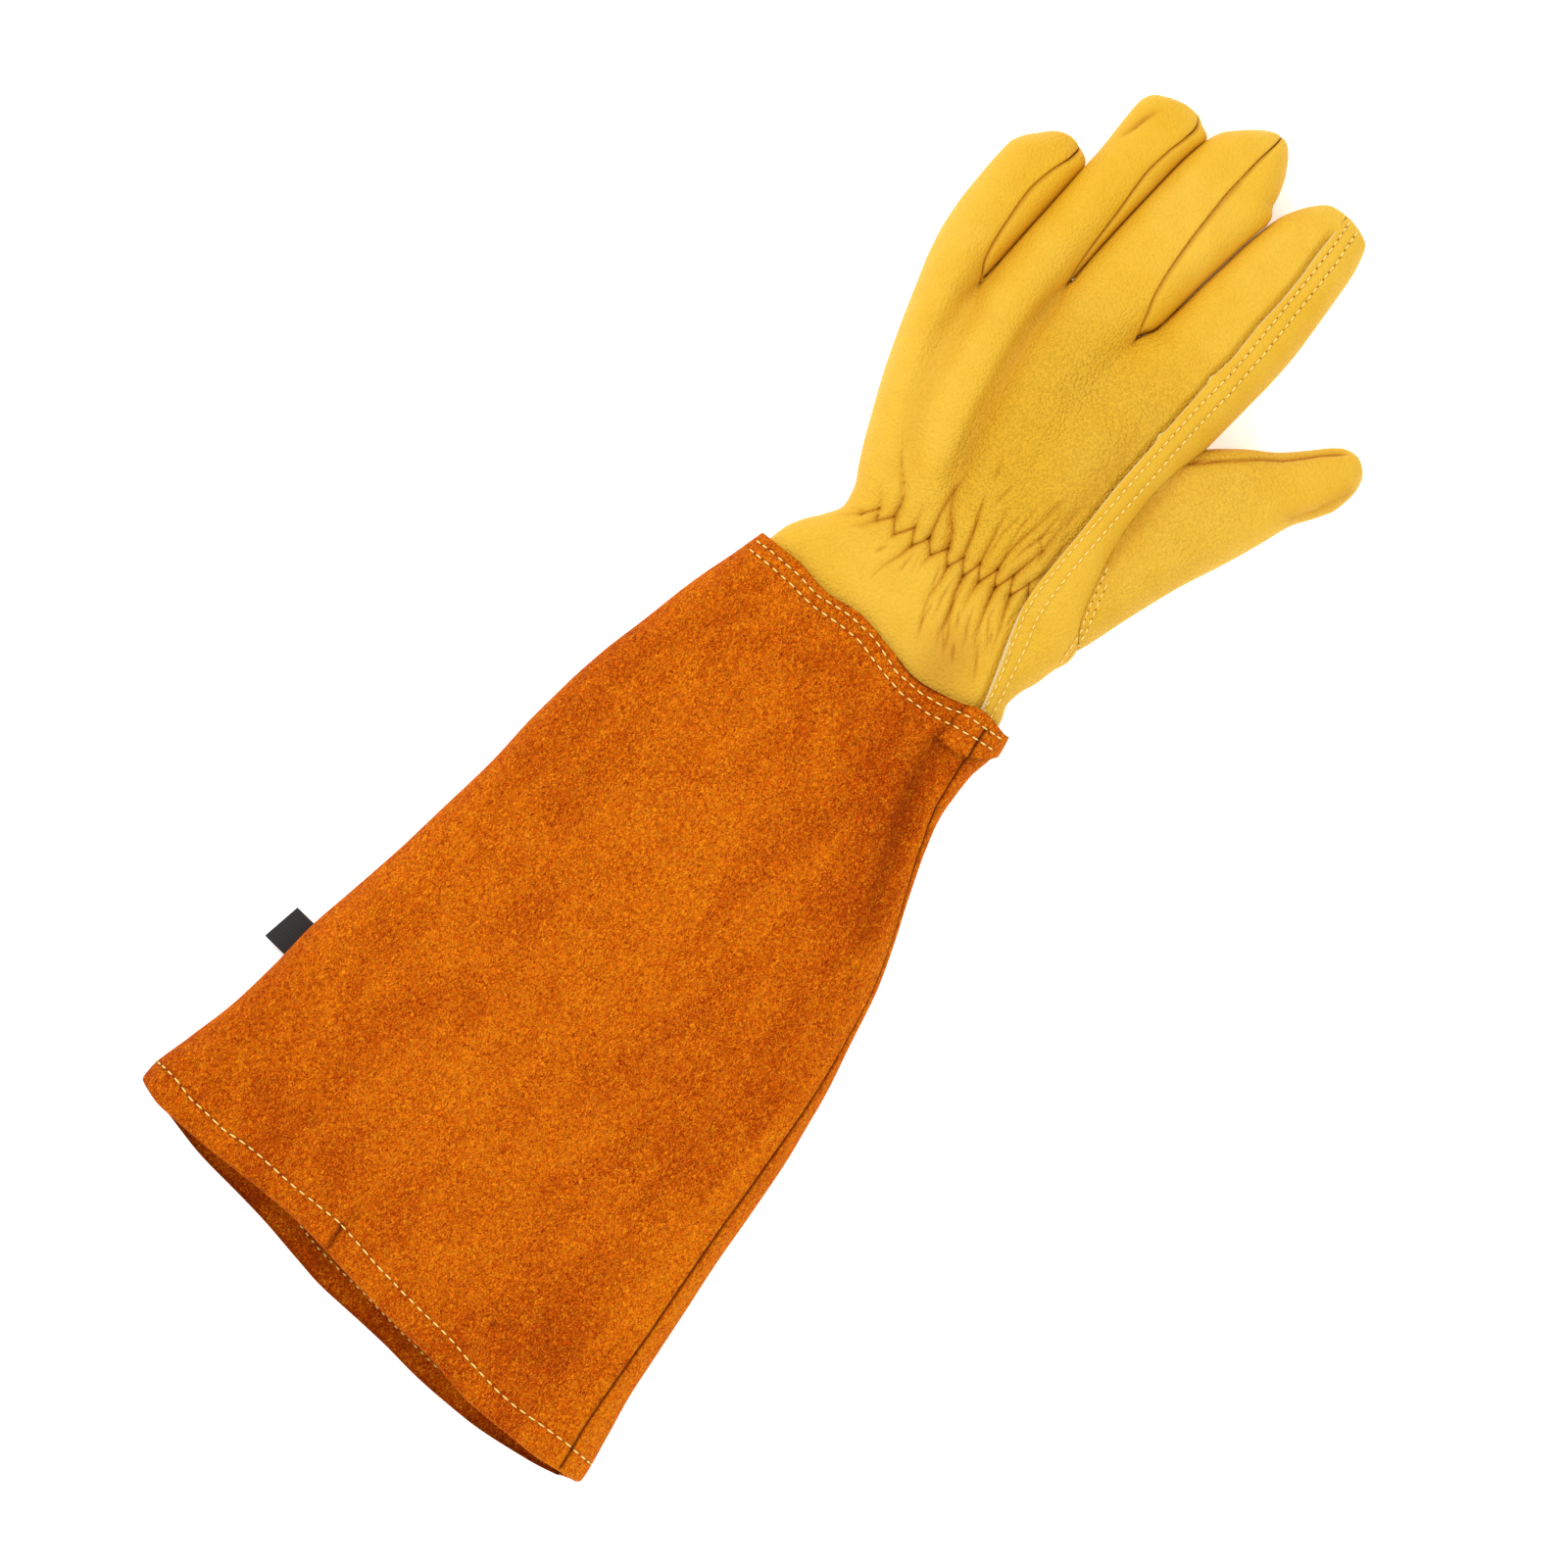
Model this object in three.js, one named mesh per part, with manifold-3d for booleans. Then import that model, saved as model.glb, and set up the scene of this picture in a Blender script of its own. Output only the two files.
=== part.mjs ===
import * as THREE from "three";
import Module from "manifold-3d";

// Leather gardening glove for the left hand, lying palm-down on z = 0. Millimetres.
// The fingers point to +Y and the thumb to +X. The tables are measured from the middle
// of the joint between hand and gauntlet, and the finished group is moved so that its
// origin is the middle of its footprint.

const wasm = await Module();
wasm.setup();

const grainWall = 1.2;
const suedeWall = 1.8;
const seamGap = 0.4;
const webRound = 0.35;
const lapUnder = 5;
const lapDip = grainWall + 0.6;
const tuckInset = 2.6;
const gatherHeight = 1.5;
const webRow = 1.8;
const webSlack = 2;
const gathersPerFinger = 3;
const ulnarTurn = 0.62;

// The hand, a row per section across it. Left and right are its outline from above.
const handRows = [
  { y: -8, left: -46.2, right: 45.0, high: 16.6, low: tuckInset },
  { y: -3, left: -44.4, right: 44.4, high: 16.8, low: tuckInset },
  { y: 3, left: -43.2, right: 43.7, high: 17.0, low: tuckInset },
  { y: 8, left: -42.0, right: 42.0, high: 17.2, low: 1.4 },
  { y: 13, left: -39.4, right: 42.8, high: 17.2, low: 0.3 },
  { y: 18, left: -35.6, right: 44.8, high: 17.6, low: 0 },
  { y: 24, left: -32.4, right: 46.3, high: 18.2, low: 0 },
  { y: 30, left: -33.5, right: 48.4, high: 19.0, low: 0 },
  { y: 36, left: -36.6, right: 48.0, high: 20.5, low: 0 },
  { y: 43, left: -40.0, right: 45.4, high: 22.2, low: 0 },
  { y: 50, left: -43.0, right: 43.0, high: 23.8, low: 0 },
  { y: 60, left: -47.2, right: 40.2, high: 25.8, low: 0 },
  { y: 70, left: -51.1, right: 38.6, high: 27.0, low: 0 },
  { y: 80, left: -54.6, right: 38.3, high: 27.4, low: 0 },
  { y: 90, left: -57.5, right: 39.3, high: 26.8, low: 0 },
  { y: 100, left: -60.0, right: 40.5, high: 25.4, low: 0 },
  { y: 112, left: -61.8, right: 41.6, high: 23.5, low: 0 },
];

// Lines on the back of the hand: the valleys that run down from the webs, and the raw edge
// of the palm leather that laps over the back.
const handLines = [
  { y: -8, littleRing: -15.5, ringMiddle: -1.0, middleIndex: 13.5, lap: 37.6 },
  { y: 2, littleRing: -15.8, ringMiddle: -1.2, middleIndex: 13.8, lap: 36.6 },
  { y: 13, littleRing: -16.5, ringMiddle: -1.5, middleIndex: 14.0, lap: 33.5 },
  { y: 22, littleRing: -17.2, ringMiddle: -1.9, middleIndex: 13.8, lap: 30.5 },
  { y: 33, littleRing: -18.4, ringMiddle: -2.5, middleIndex: 12.9, lap: 27.5 },
  { y: 42, littleRing: -22.3, ringMiddle: -6.6, middleIndex: 11.6, lap: 26.7 },
  { y: 50, littleRing: -28.0, ringMiddle: -10.4, middleIndex: 10.2, lap: 26.8 },
  { y: 60, littleRing: -33.0, ringMiddle: -13.4, middleIndex: 8.5, lap: 27.0 },
  { y: 75, littleRing: -37.9, ringMiddle: -17.0, middleIndex: 6.5, lap: 27.0 },
  { y: 90, littleRing: -40.0, ringMiddle: -19.7, middleIndex: 5.2, lap: 27.3 },
  { y: 100, littleRing: -42.0, ringMiddle: -21.1, middleIndex: 4.5, lap: 27.9 },
  { y: 116, littleRing: -42.4, ringMiddle: -21.8, middleIndex: 4.0, lap: 28.7 },
];

// How deep the three valleys and the gathers of the wrist are.
const handDepths = [
  { y: -8, littleRing: 0, ringMiddle: 0, middleIndex: 0, gather: 0 },
  { y: 6, littleRing: 0, ringMiddle: 0, middleIndex: 0, gather: 0.1 },
  { y: 18, littleRing: 0.2, ringMiddle: 0.2, middleIndex: 0.2, gather: 0.65 },
  { y: 29, littleRing: 0.6, ringMiddle: 0.6, middleIndex: 0.4, gather: 1 },
  { y: 40, littleRing: 1.0, ringMiddle: 1.8, middleIndex: 0.4, gather: 0.6 },
  { y: 54, littleRing: 1.4, ringMiddle: 2.8, middleIndex: 0.5, gather: 0.15 },
  { y: 68, littleRing: 1.8, ringMiddle: 3.4, middleIndex: 0.6, gather: 0 },
  { y: 95, littleRing: 2.2, ringMiddle: 4.0, middleIndex: 0.8, gather: 0 },
];
const valleyReach = { littleRing: 5.5, ringMiddle: 4.5, middleIndex: 6 };
const valleys = ["littleRing", "ringMiddle", "middleIndex"];

// Where the webs are, on the back and on the palm side.
const webs = [
  { back: 100.5, front: 105 },
  { back: 116, front: 118 },
  { back: 115.5, front: 115.5 },
];
const gunnCut = 102;

// The fingers above their webs. The seam is the line between back and side strip that
// shows from above; on the index finger it is the raw edge of the lap.
const fingers = [
  {
    cap: 10,
    tip: { x: -47.5, y: 150.9, z: 6 },
    rows: [
      { y: 100.5, left: -60.1, right: -42.0, high: 21.5, seam: -42.4 },
      { y: 104, left: -60.9, right: -42.4, high: 21.0, seam: -44.2 },
      { y: 110, left: -61.7, right: -42.3, high: 20.0, seam: -46.0 },
      { y: 118, left: -62.2, right: -42.1, high: 18.8, seam: -47.0 },
      { y: 130, left: -62.0, right: -41.5, high: 17.0, seam: -47.8 },
      { y: 138, left: -61.4, right: -40.9, high: 15.6, seam: -46.6 },
      { y: 142, left: -59.5, right: -40.5, high: 14.6, seam: -45.4 },
      { y: 146, left: -56.0, right: -41.3, high: 13.6, seam: -44.2 },
      { y: 149, left: -53.0, right: -43.4, high: 12.6, seam: -44.0 },
      { y: 150.9, left: -47.5, right: -47.5, high: 12, seam: -47.5 },
    ],
  },
  {
    cap: 11,
    tip: { x: -25, y: 179.5, z: 6.4 },
    rows: [
      { y: 100.5, left: -42.0, right: -21.1, high: 23.0, seam: -22.1 },
      { y: 106, left: -41.6, right: -21.5, high: 22.6, seam: -22.1 },
      { y: 116, left: -41.1, right: -21.8, high: 21.5, seam: -22.1 },
      { y: 122, left: -40.8, right: -21.8, high: 20.8, seam: -22.6 },
      { y: 130, left: -40.3, right: -21.6, high: 19.8, seam: -23.0 },
      { y: 143, left: -39.6, right: -21.0, high: 18.2, seam: -23.4 },
      { y: 155, left: -39.0, right: -20.1, high: 16.8, seam: -24.0 },
      { y: 165, left: -39.1, right: -18.9, high: 15.4, seam: -22.8 },
      { y: 171, left: -38.9, right: -17.9, high: 14.4, seam: -21.4 },
      { y: 175, left: -37.4, right: -18.4, high: 13.6, seam: -20.9 },
      { y: 177.8, left: -32.8, right: -20.6, high: 13.0, seam: -21.6 },
      { y: 179.5, left: -25, right: -25, high: 12.6, seam: -25 },
    ],
  },
  {
    cap: 12,
    tip: { x: 0.5, y: 189.7, z: 6.4 },
    rows: [
      { y: 100.5, left: -21.1, right: 4.6, high: 24.0, seam: 3.9 },
      { y: 115.5, left: -21.2, right: 4.0, high: 22.6, seam: 3.5 },
      { y: 122, left: -21.1, right: 6.3, high: 21.8, seam: 2.5 },
      { y: 130, left: -20.8, right: 7.5, high: 20.8, seam: 0.3 },
      { y: 140, left: -20.2, right: 8.8, high: 19.4, seam: -1.0 },
      { y: 153, left: -19.2, right: 10.7, high: 17.8, seam: -1.6 },
      { y: 165, left: -18.1, right: 11.9, high: 16.2, seam: -1.7 },
      { y: 173, left: -16.7, right: 11.1, high: 15.0, seam: -1.1 },
      { y: 179, left: -14.4, right: 9.5, high: 14.0, seam: -0.6 },
      { y: 184, left: -9.6, right: 7.0, high: 13.2, seam: 0.1 },
      { y: 188, left: -4.4, right: 4.0, high: 12.6, seam: 0.6 },
      { y: 189.7, left: 0.5, right: 0.5, high: 12.2, seam: 0.5 },
    ],
  },
  {
    cap: 11,
    tip: { x: 29, y: 183.4, z: 6.4 },
    rows: [
      { y: 100.5, left: 4.6, right: 40.5, high: 23.6, seam: 27.9 },
      { y: 115.5, left: 4.0, right: 42.1, high: 22.0, seam: 28.7 },
      { y: 122, left: 7.1, right: 42.7, high: 21.2, seam: 29.0 },
      { y: 130, left: 8.3, right: 43.5, high: 20.2, seam: 29.9 },
      { y: 141, left: 9.6, right: 44.0, high: 18.8, seam: 29.9 },
      { y: 150, left: 10.9, right: 43.7, high: 17.6, seam: 30.5 },
      { y: 160, left: 12.4, right: 43.2, high: 16.4, seam: 30.7 },
      { y: 170, left: 14.8, right: 42.5, high: 15.2, seam: 30.2 },
      { y: 176, left: 18.0, right: 41.3, high: 14.2, seam: 30.2 },
      { y: 180, left: 21.2, right: 39.8, high: 13.4, seam: 30.3 },
      { y: 182.6, left: 24.4, right: 35.0, high: 12.8, seam: 30.2 },
      { y: 183.4, left: 29, right: 29, high: 12.4, seam: 29 },
    ],
  },
];

// The thumb, a row per section across it from base to tip. Left is the side toward the
// index finger. The first rows are inside the hand, where the tube is cut away.
const thumbRows = [
  { leftX: 12, leftY: 48, rightX: 42, rightY: 22, high: 15.5, low: 0 },
  { leftX: 20, leftY: 66, rightX: 48.6, rightY: 34, high: 17.5, low: 0 },
  { leftX: 24, leftY: 79, rightX: 54, rightY: 50, high: 18.8, low: 0 },
  { leftX: 28.5, leftY: 89, rightX: 60, rightY: 66.6, high: 19.2, low: 0 },
  { leftX: 34.5, leftY: 97, rightX: 66, rightY: 80, high: 19.0, low: 0 },
  { leftX: 41.8, leftY: 104.5, rightX: 70.6, rightY: 91.4, high: 18.2, low: 0 },
  { leftX: 50, leftY: 111, rightX: 74.4, rightY: 101.4, high: 17.0, low: 0 },
  { leftX: 58, leftY: 116.2, rightX: 78.8, rightY: 108, high: 15.6, low: 0 },
  { leftX: 64.5, leftY: 122.2, rightX: 82, rightY: 114, high: 14.2, low: 0 },
  { leftX: 69.6, leftY: 127.2, rightX: 83.1, rightY: 121, high: 13, low: 0 },
  { leftX: 72.6, leftY: 129.3, rightX: 82.2, rightY: 125.6, high: 11.6, low: 0.9 },
  { leftX: 75.2, leftY: 130, rightX: 80, rightY: 128.4, high: 9.6, low: 2.7 },
  { leftX: 77.4, leftY: 130, rightX: 77.4, rightY: 130, high: 6, low: 6 },
];

// The gauntlet, a row per section. The seam on top is given by its distance in from the
// outline on the thumb side.
const gauntletRows = [
  { y: -258, left: -88.2, right: 87.8, high: 22.5, seamIn: 7.6 },
  { y: -248, left: -88.5, right: 87.2, high: 23, seamIn: 7.6 },
  { y: -235, left: -88.6, right: 85.0, high: 23.5, seamIn: 7.2 },
  { y: -220, left: -85.0, right: 82.7, high: 24.2, seamIn: 6.0 },
  { y: -200, left: -80.5, right: 80.5, high: 25, seamIn: 5.0 },
  { y: -170, left: -77.0, right: 78.0, high: 26, seamIn: 4.8 },
  { y: -145, left: -72.7, right: 76.0, high: 26.2, seamIn: 4.2 },
  { y: -120, left: -68.7, right: 73.0, high: 26, seamIn: 2.9 },
  { y: -100, left: -66.5, right: 68.8, high: 25.2, seamIn: 1.4 },
  { y: -83, left: -65.1, right: 65.0, high: 24.2, seamIn: 0.9 },
  { y: -68, left: -63.5, right: 60.2, high: 23, seamIn: 0.8 },
  { y: -55, left: -61.0, right: 55.2, high: 22, seamIn: 1.0 },
  { y: -42, left: -58.0, right: 50.6, high: 21.2, seamIn: 1.4 },
  { y: -27, left: -54.5, right: 47.2, high: 20.4, seamIn: 2.8 },
  { y: -16, left: -51.6, right: 46.8, high: 20, seamIn: 4.0 },
  { y: -7, left: -48.8, right: 48.0, high: 20, seamIn: 6.5 },
  { y: 3, left: -45.8, right: 46.6, high: 20.2, seamIn: 5.5 },
];

// The two ends of the gauntlet, a row per place across it.
const gauntletEnds = [
  { x: -88.7, cuff: 2.0, topHem: -238.6, lowHem: -238.6 },
  { x: -78, cuff: 2.0, topHem: -240.6, lowHem: -240.8 },
  { x: -60, cuff: 2.2, topHem: -241.2, lowHem: -245.0 },
  { x: -45, cuff: 2.4, topHem: -241.1, lowHem: -246.8 },
  { x: -34, cuff: 2.4, topHem: -241.2, lowHem: -248.3 },
  { x: -20, cuff: 0.5, topHem: -242.2, lowHem: -251.0 },
  { x: -9, cuff: 1.6, topHem: -243.9, lowHem: -252.9 },
  { x: 5, cuff: -0.8, topHem: -246.0, lowHem: -253.8 },
  { x: 16, cuff: -3.0, topHem: -247.4, lowHem: -254.6 },
  { x: 30, cuff: -0.6, topHem: -248.7, lowHem: -256.2 },
  { x: 38, cuff: 2.0, topHem: -250.3, lowHem: -256.6 },
  { x: 48, cuff: 0.0, topHem: -251.8, lowHem: -256.8 },
  { x: 70, cuff: 0.0, topHem: -252.0, lowHem: -254.8 },
  { x: 80, cuff: 0.0, topHem: -251.0, lowHem: -252.8 },
  { x: 87.8, cuff: 0.0, topHem: -250.4, lowHem: -250.4 },
];
const lowCuff = 0.5;

// Soft dents in the gauntlet's top.
const gauntletDents = [
  { x: 37, y: -26, reachX: 6, reachY: 12, deep: 2.0 },
  { x: 43, y: -50, reachX: 7, reachY: 20, deep: 2.4 },
  { x: -14, y: -236, reachX: 4, reachY: 16, deep: 1.4 },
  { x: -62, y: -216, reachX: 12, reachY: 26, deep: 1.6 },
  { x: 62, y: -206, reachX: 9, reachY: 40, deep: 1.6 },
  { x: 4, y: -150, reachX: 30, reachY: 40, deep: 1.8 },
];

const labelTab = { y: -176.4, outer: -86, wide: 13.5, thick: 0.9, z: 2.4, turn: -0.08 };

const handStops = [-8, -3, 3, 8, 13, 18, 23, 28, 33, 38, 44, 51, 59, 68, 77, 86, 94, 100.5];

const lerp = (a, b, t) => a + (b - a) * t;
const clamp = (value, lo, hi) => Math.min(hi, Math.max(lo, value));
const smooth = (lo, hi, value) => {
  const t = clamp((value - lo) / (hi - lo), 0, 1);
  return t * t * (3 - 2 * t);
};
const hump = (value, middle, reach) => Math.exp(-(((value - middle) / reach) ** 2));
const minus = (a, b) => a.map((value, i) => value - b[i]);
const plus = (a, b, share = 1) => a.map((value, i) => value + share * b[i]);
const mixPoints = (a, b, t) => a.map((value, i) => lerp(value, b[i], t));
const cross = (a, b) => [
  a[1] * b[2] - a[2] * b[1],
  a[2] * b[0] - a[0] * b[2],
  a[0] * b[1] - a[1] * b[0],
];
const unit = (a) => {
  const size = Math.hypot(...a);
  return size < 1e-9 ? [0, 0, 0] : a.map((value) => value / size);
};

// A smooth curve through one column of a table, with no overshoot between its rows.
function slopeAt(rows, name, key, i) {
  if (i === 0 || i === rows.length - 1) {
    const j = i === 0 ? 0 : i - 1;
    return (rows[j + 1][name] - rows[j][name]) / (rows[j + 1][key] - rows[j][key]);
  }
  const before = (rows[i][name] - rows[i - 1][name]) / (rows[i][key] - rows[i - 1][key]);
  const after = (rows[i + 1][name] - rows[i][name]) / (rows[i + 1][key] - rows[i][key]);
  return before * after > 0 ? (2 * before * after) / (before + after) : 0;
}

function read(rows, name, value, key = "y") {
  const last = rows.length - 1;
  const place = clamp(value, rows[0][key], rows[last][key]);
  let i = 0;
  while (i < last - 1 && place > rows[i + 1][key]) {
    i += 1;
  }
  const step = rows[i + 1][key] - rows[i][key];
  const t = (place - rows[i][key]) / step;
  const t2 = t * t;
  const t3 = t2 * t;
  return (
    (2 * t3 - 3 * t2 + 1) * rows[i][name] +
    (t3 - 2 * t2 + t) * step * slopeAt(rows, name, key, i) +
    (3 * t2 - 2 * t3) * rows[i + 1][name] +
    (t3 - t2) * step * slopeAt(rows, name, key, i + 1)
  );
}

// A section is a flattened loop with round ends. A place on the loop is a number of
// quarters: 0 is its right end, 1 the middle of the top, 2 the left end, 3 underneath.
function sectionOf({ left, right, high, low }, crownShare = 0.1) {
  const half = Math.max((right - left) / 2, 1e-4);
  const waist = lerp(low, high, 0.45);
  const crown = crownShare * (high - waist);
  const top = Math.max(high - waist - crown, 1e-4);
  const end = Math.min(half, 0.95 * top);
  const flat = half - end;
  const arc = (Math.PI / 4) * (end + top);
  return { middle: (left + right) / 2, half, low, waist, crown, top, end, flat, arc };
}

function onLoop(section, quarters) {
  const turn = ((quarters % 4) + 4) % 4;
  const upper = turn <= 2;
  const fold = upper ? turn : 4 - turn;
  const side = fold <= 1 ? 1 : -1;
  const run = (fold <= 1 ? fold : 2 - fold) * (section.flat + section.arc);
  const angle = Math.min(run / section.arc, 1) * (Math.PI / 2);
  const across = section.flat + section.end * Math.cos(angle) - Math.max(run - section.arc, 0);
  const rise = Math.sin(angle);
  const share = across / section.half;
  const z = upper
    ? section.waist + section.top * rise + section.crown * (1 - share * share)
    : section.waist - (section.waist - section.low) * Math.min(1, 1.04 * rise);
  return { x: section.middle + side * across, z, rise: upper ? rise : -rise };
}

// The place on the top half of a loop that lies at x.
function placeOf(section, x) {
  const offset = clamp((x - section.middle) / section.half, -1, 1) * section.half;
  const across = Math.abs(offset);
  const run =
    across > section.flat
      ? (Math.acos((across - section.flat) / section.end) * section.arc) / (Math.PI / 2)
      : section.arc + section.flat - across;
  const fold = run / (section.flat + section.arc);
  return offset >= 0 ? fold : 2 - fold;
}

const handSection = (y) =>
  sectionOf({
    left: read(handRows, "left", y),
    right: read(handRows, "right", y),
    high: read(handRows, "high", y),
    low: read(handRows, "low", y),
  });

// Below its web a finger's section is bounded by the valleys. In the round end the reading
// place runs on past y, so that the outline closes smoothly.
function fingerSection(number, reach) {
  const { rows, cap, tip } = fingers[number];
  const capStart = tip.y - cap;
  const turn = clamp((reach - capStart) / cap, 0, Math.PI / 2);
  const place = capTable(number);
  const leftWeb = number === 0 ? -Infinity : webs[number - 1].back;
  const rightWeb = number === 3 ? -Infinity : webs[number].back;
  const start = rows[0].y;
  let left = read(place, "left", reach);
  let right = read(place, "right", reach);
  if (reach < start && number === 0) {
    left = read(handRows, "left", reach);
  }
  if (reach < start && number === 3) {
    right = read(handRows, "right", reach);
  }
  if (number > 0 && reach < leftWeb) {
    left = read(handLines, valleys[number - 1], reach);
  }
  if (number < 3 && reach < rightWeb) {
    right = read(handLines, valleys[number], reach);
  }
  const plump = Math.cos(turn);
  const full = reach < start ? read(handRows, "high", reach) - 1.5 : read(place, "high", reach);
  return sectionOf({
    left,
    right,
    high: lerp(tip.z, Math.min(full, read(place, "high", Math.max(reach, start)) + 3), plump),
    low: lerp(tip.z, 0, plump),
  });
}

const capTables = fingers.map(({ rows, cap, tip }) =>
  rows.map((row) => {
    const past = clamp((row.y - (tip.y - cap)) / cap, 0, 1);
    return { ...row, y: past > 0 ? tip.y - cap + cap * Math.asin(past) : row.y };
  }),
);
function capTable(number) {
  return capTables[number];
}

const tipReach = (number) => fingers[number].tip.y + fingers[number].cap * (Math.PI / 2 - 1);

function reachToY(number, reach) {
  const { cap, tip } = fingers[number];
  const turn = (reach - (tip.y - cap)) / cap;
  return turn <= 0 ? reach : tip.y - cap + cap * Math.sin(Math.min(turn, Math.PI / 2));
}

// How far a finger's round end has begun, from 0 to 1.
const capShare = (number, reach) =>
  smooth(fingers[number].tip.y - fingers[number].cap - 8, tipReach(number) - 4, reach);

function handPoint(quarters, y) {
  const section = handSection(y);
  const spot = onLoop(section, quarters);
  let drop = 0;
  for (const name of valleys) {
    const line = read(handLines, name, y);
    drop += read(handDepths, name, y) * hump(spot.x, line, valleyReach[name]);
  }
  return [spot.x, y, spot.z - drop * clamp(spot.rise * 1.6, 0, 1)];
}

function fingerPoint(number, quarters, reach, spread) {
  const section = fingerSection(number, reach);
  const spot = onLoop(section, quarters);
  const apart = spread.share * capShare(number, reach);
  const y = reachToY(number, reach);
  return [spot.x + apart * spread.x, y, spot.z + apart * spread.z];
}

// Pieces that meet at a fingertip each stand a little outward of it, which keeps the seam open.
const spreadToward = (quarters, share = 0.36) => ({
  share,
  x: Math.cos((quarters * Math.PI) / 2),
  z: Math.sin((quarters * Math.PI) / 2),
});

const ulnarSeam = 2.2;
const trimOf = (section, millimetres) =>
  Math.min(millimetres / (section.flat + section.arc), 0.12);

// The four seams along a finger as places on its loop.
function backRight(number, reach) {
  const section = fingerSection(number, reach);
  if (number === 3) {
    return placeOf(section, read(capTable(3), "seam", Math.max(reach, fingers[3].rows[0].y)));
  }
  const web = webs[number].back;
  const seam = placeOf(section, read(capTable(number), "seam", Math.max(reach, web)));
  return lerp(0.22, seam, smooth(web - 1, web + 5, reach));
}

const backLeft = (number, reach) =>
  number === 0 ? ulnarSeam : lerp(1.78, 2.12, smooth(0, 16, reach - webs[number - 1].back));
const frontLeft = (number, reach) =>
  number === 0 ? ulnarSeam : lerp(2.2, 2.6, smooth(0, 16, reach - webs[number - 1].front));
const frontRight = (number, reach) =>
  number === 3 ? 4 + backRight(3, reach) : lerp(3.8, 3.84, smooth(0, 16, reach - webs[number].front));

const lapPlace = (section, y, shift) => placeOf(section, read(handLines, "lap", y) + shift);

// Across the back of the index finger: the last part lies under the palm's lap.
const lapTurns = { near: 0.68, edge: 0.84 };
function lapFade(y) {
  return { under: 1 - smooth(167, 171, y), dip: 1 - smooth(171, 176, y) };
}

function indexBackPlace(section, start, edge, y, t) {
  const { under } = lapFade(y);
  const quarter = section.flat + section.arc;
  const near = edge + 4.5 / quarter;
  const close = edge + 0.7 / quarter;
  const far = edge - (lapUnder * under - 0.7 * (1 - under)) / quarter;
  if (t < lapTurns.near) {
    return lerp(start, near, t / lapTurns.near);
  }
  if (t < lapTurns.edge) {
    return lerp(near, close, (t - lapTurns.near) / (lapTurns.edge - lapTurns.near));
  }
  return lerp(close, Math.min(far, close - 0.01), (t - lapTurns.edge) / (1 - lapTurns.edge));
}

function backLoose(number, t, reach) {
  const webLeft = webs[Math.max(number - 1, 0)].back;
  const webRight = webs[Math.min(number, 2)].back;
  const web = lerp(webLeft, webRight, clamp(t, 0, 1));
  const fingerPlaces = fingerSection(number, reach);
  const trim = trimOf(fingerPlaces, seamGap / 2);
  const from = backLeft(number, reach) - (reach > web || number === 0 ? trim : 0);
  const to = backRight(number, reach) + (reach > web ? trim : 0);
  const onFinger = number === 3 ? indexBackPlace(fingerPlaces, from, to, reach, t) : lerp(from, to, t);
  const mid = (from + to) / 2;
  const finger = fingerPoint(number, onFinger, reach, spreadToward(mid));
  const weight = smooth(web - 42, web, reach);
  let point = finger;
  if (weight < 1) {
    const section = handSection(reach);
    const start = number === 0
      ? ulnarSeam - trimOf(section, seamGap / 2)
      : placeOf(section, read(handLines, valleys[number - 1], reach));
    const end = number === 3
      ? lapPlace(section, reach, 0)
      : placeOf(section, read(handLines, valleys[number], reach));
    const onHand = number === 3 ? indexBackPlace(section, start, end, reach, t) : lerp(start, end, t);
    const ridge = 0.5 - 0.5 * Math.cos(2 * Math.PI * gathersPerFinger * t);
    const hand = handPoint(onHand, reach);
    hand[2] += gatherHeight * read(handDepths, "gather", reach) * (ridge - 0.5) * edgeCalm(number, t);
    point = mixPoints(hand, finger, weight);
  }
  return point;
}

const edgeCalm = (number, t) => {
  if (number === 0) {
    return smooth(0.1, 0.4, t);
  }
  return number === 3 ? 1 - smooth(0.5, lapTurns.near, t) : 1;
};

// Neighbouring fingers share the valley between them as far as the web.
function meetNeighbours(loose, number, t, reach, web) {
  let point = loose(number, t, reach);
  if (number > 0) {
    const y = Math.min(reach, web(number - 1));
    const gap = minus(loose(number - 1, 1, y), loose(number, 0, y));
    const fade = Math.exp(-Math.max(reach - y, 0) / 3);
    point = plus(point, gap, 0.5 * fade * (1 - t) ** 2);
  }
  if (number < 3) {
    const y = Math.min(reach, web(number));
    const gap = minus(loose(number + 1, 0, y), loose(number, 1, y));
    const fade = Math.exp(-Math.max(reach - y, 0) / 3);
    point = plus(point, gap, 0.5 * fade * t ** 2);
  }
  return point;
}

const backPlain = (number, t, reach) =>
  meetNeighbours(backLoose, number, t, reach, (i) => webs[i].back);

function backPoint(number, t, reach) {
  const point = backPlain(number, t, reach);
  if (number < 3 || t < lapTurns.near) {
    return point;
  }
  const normal = normalOf((a, b) => backPlain(number, a, b), t, reach, 1);
  const depth = lapDip * lapFade(reach).dip * smooth(lapTurns.near, lapTurns.edge, t);
  return plus(point, normal, -depth);
}

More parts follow.
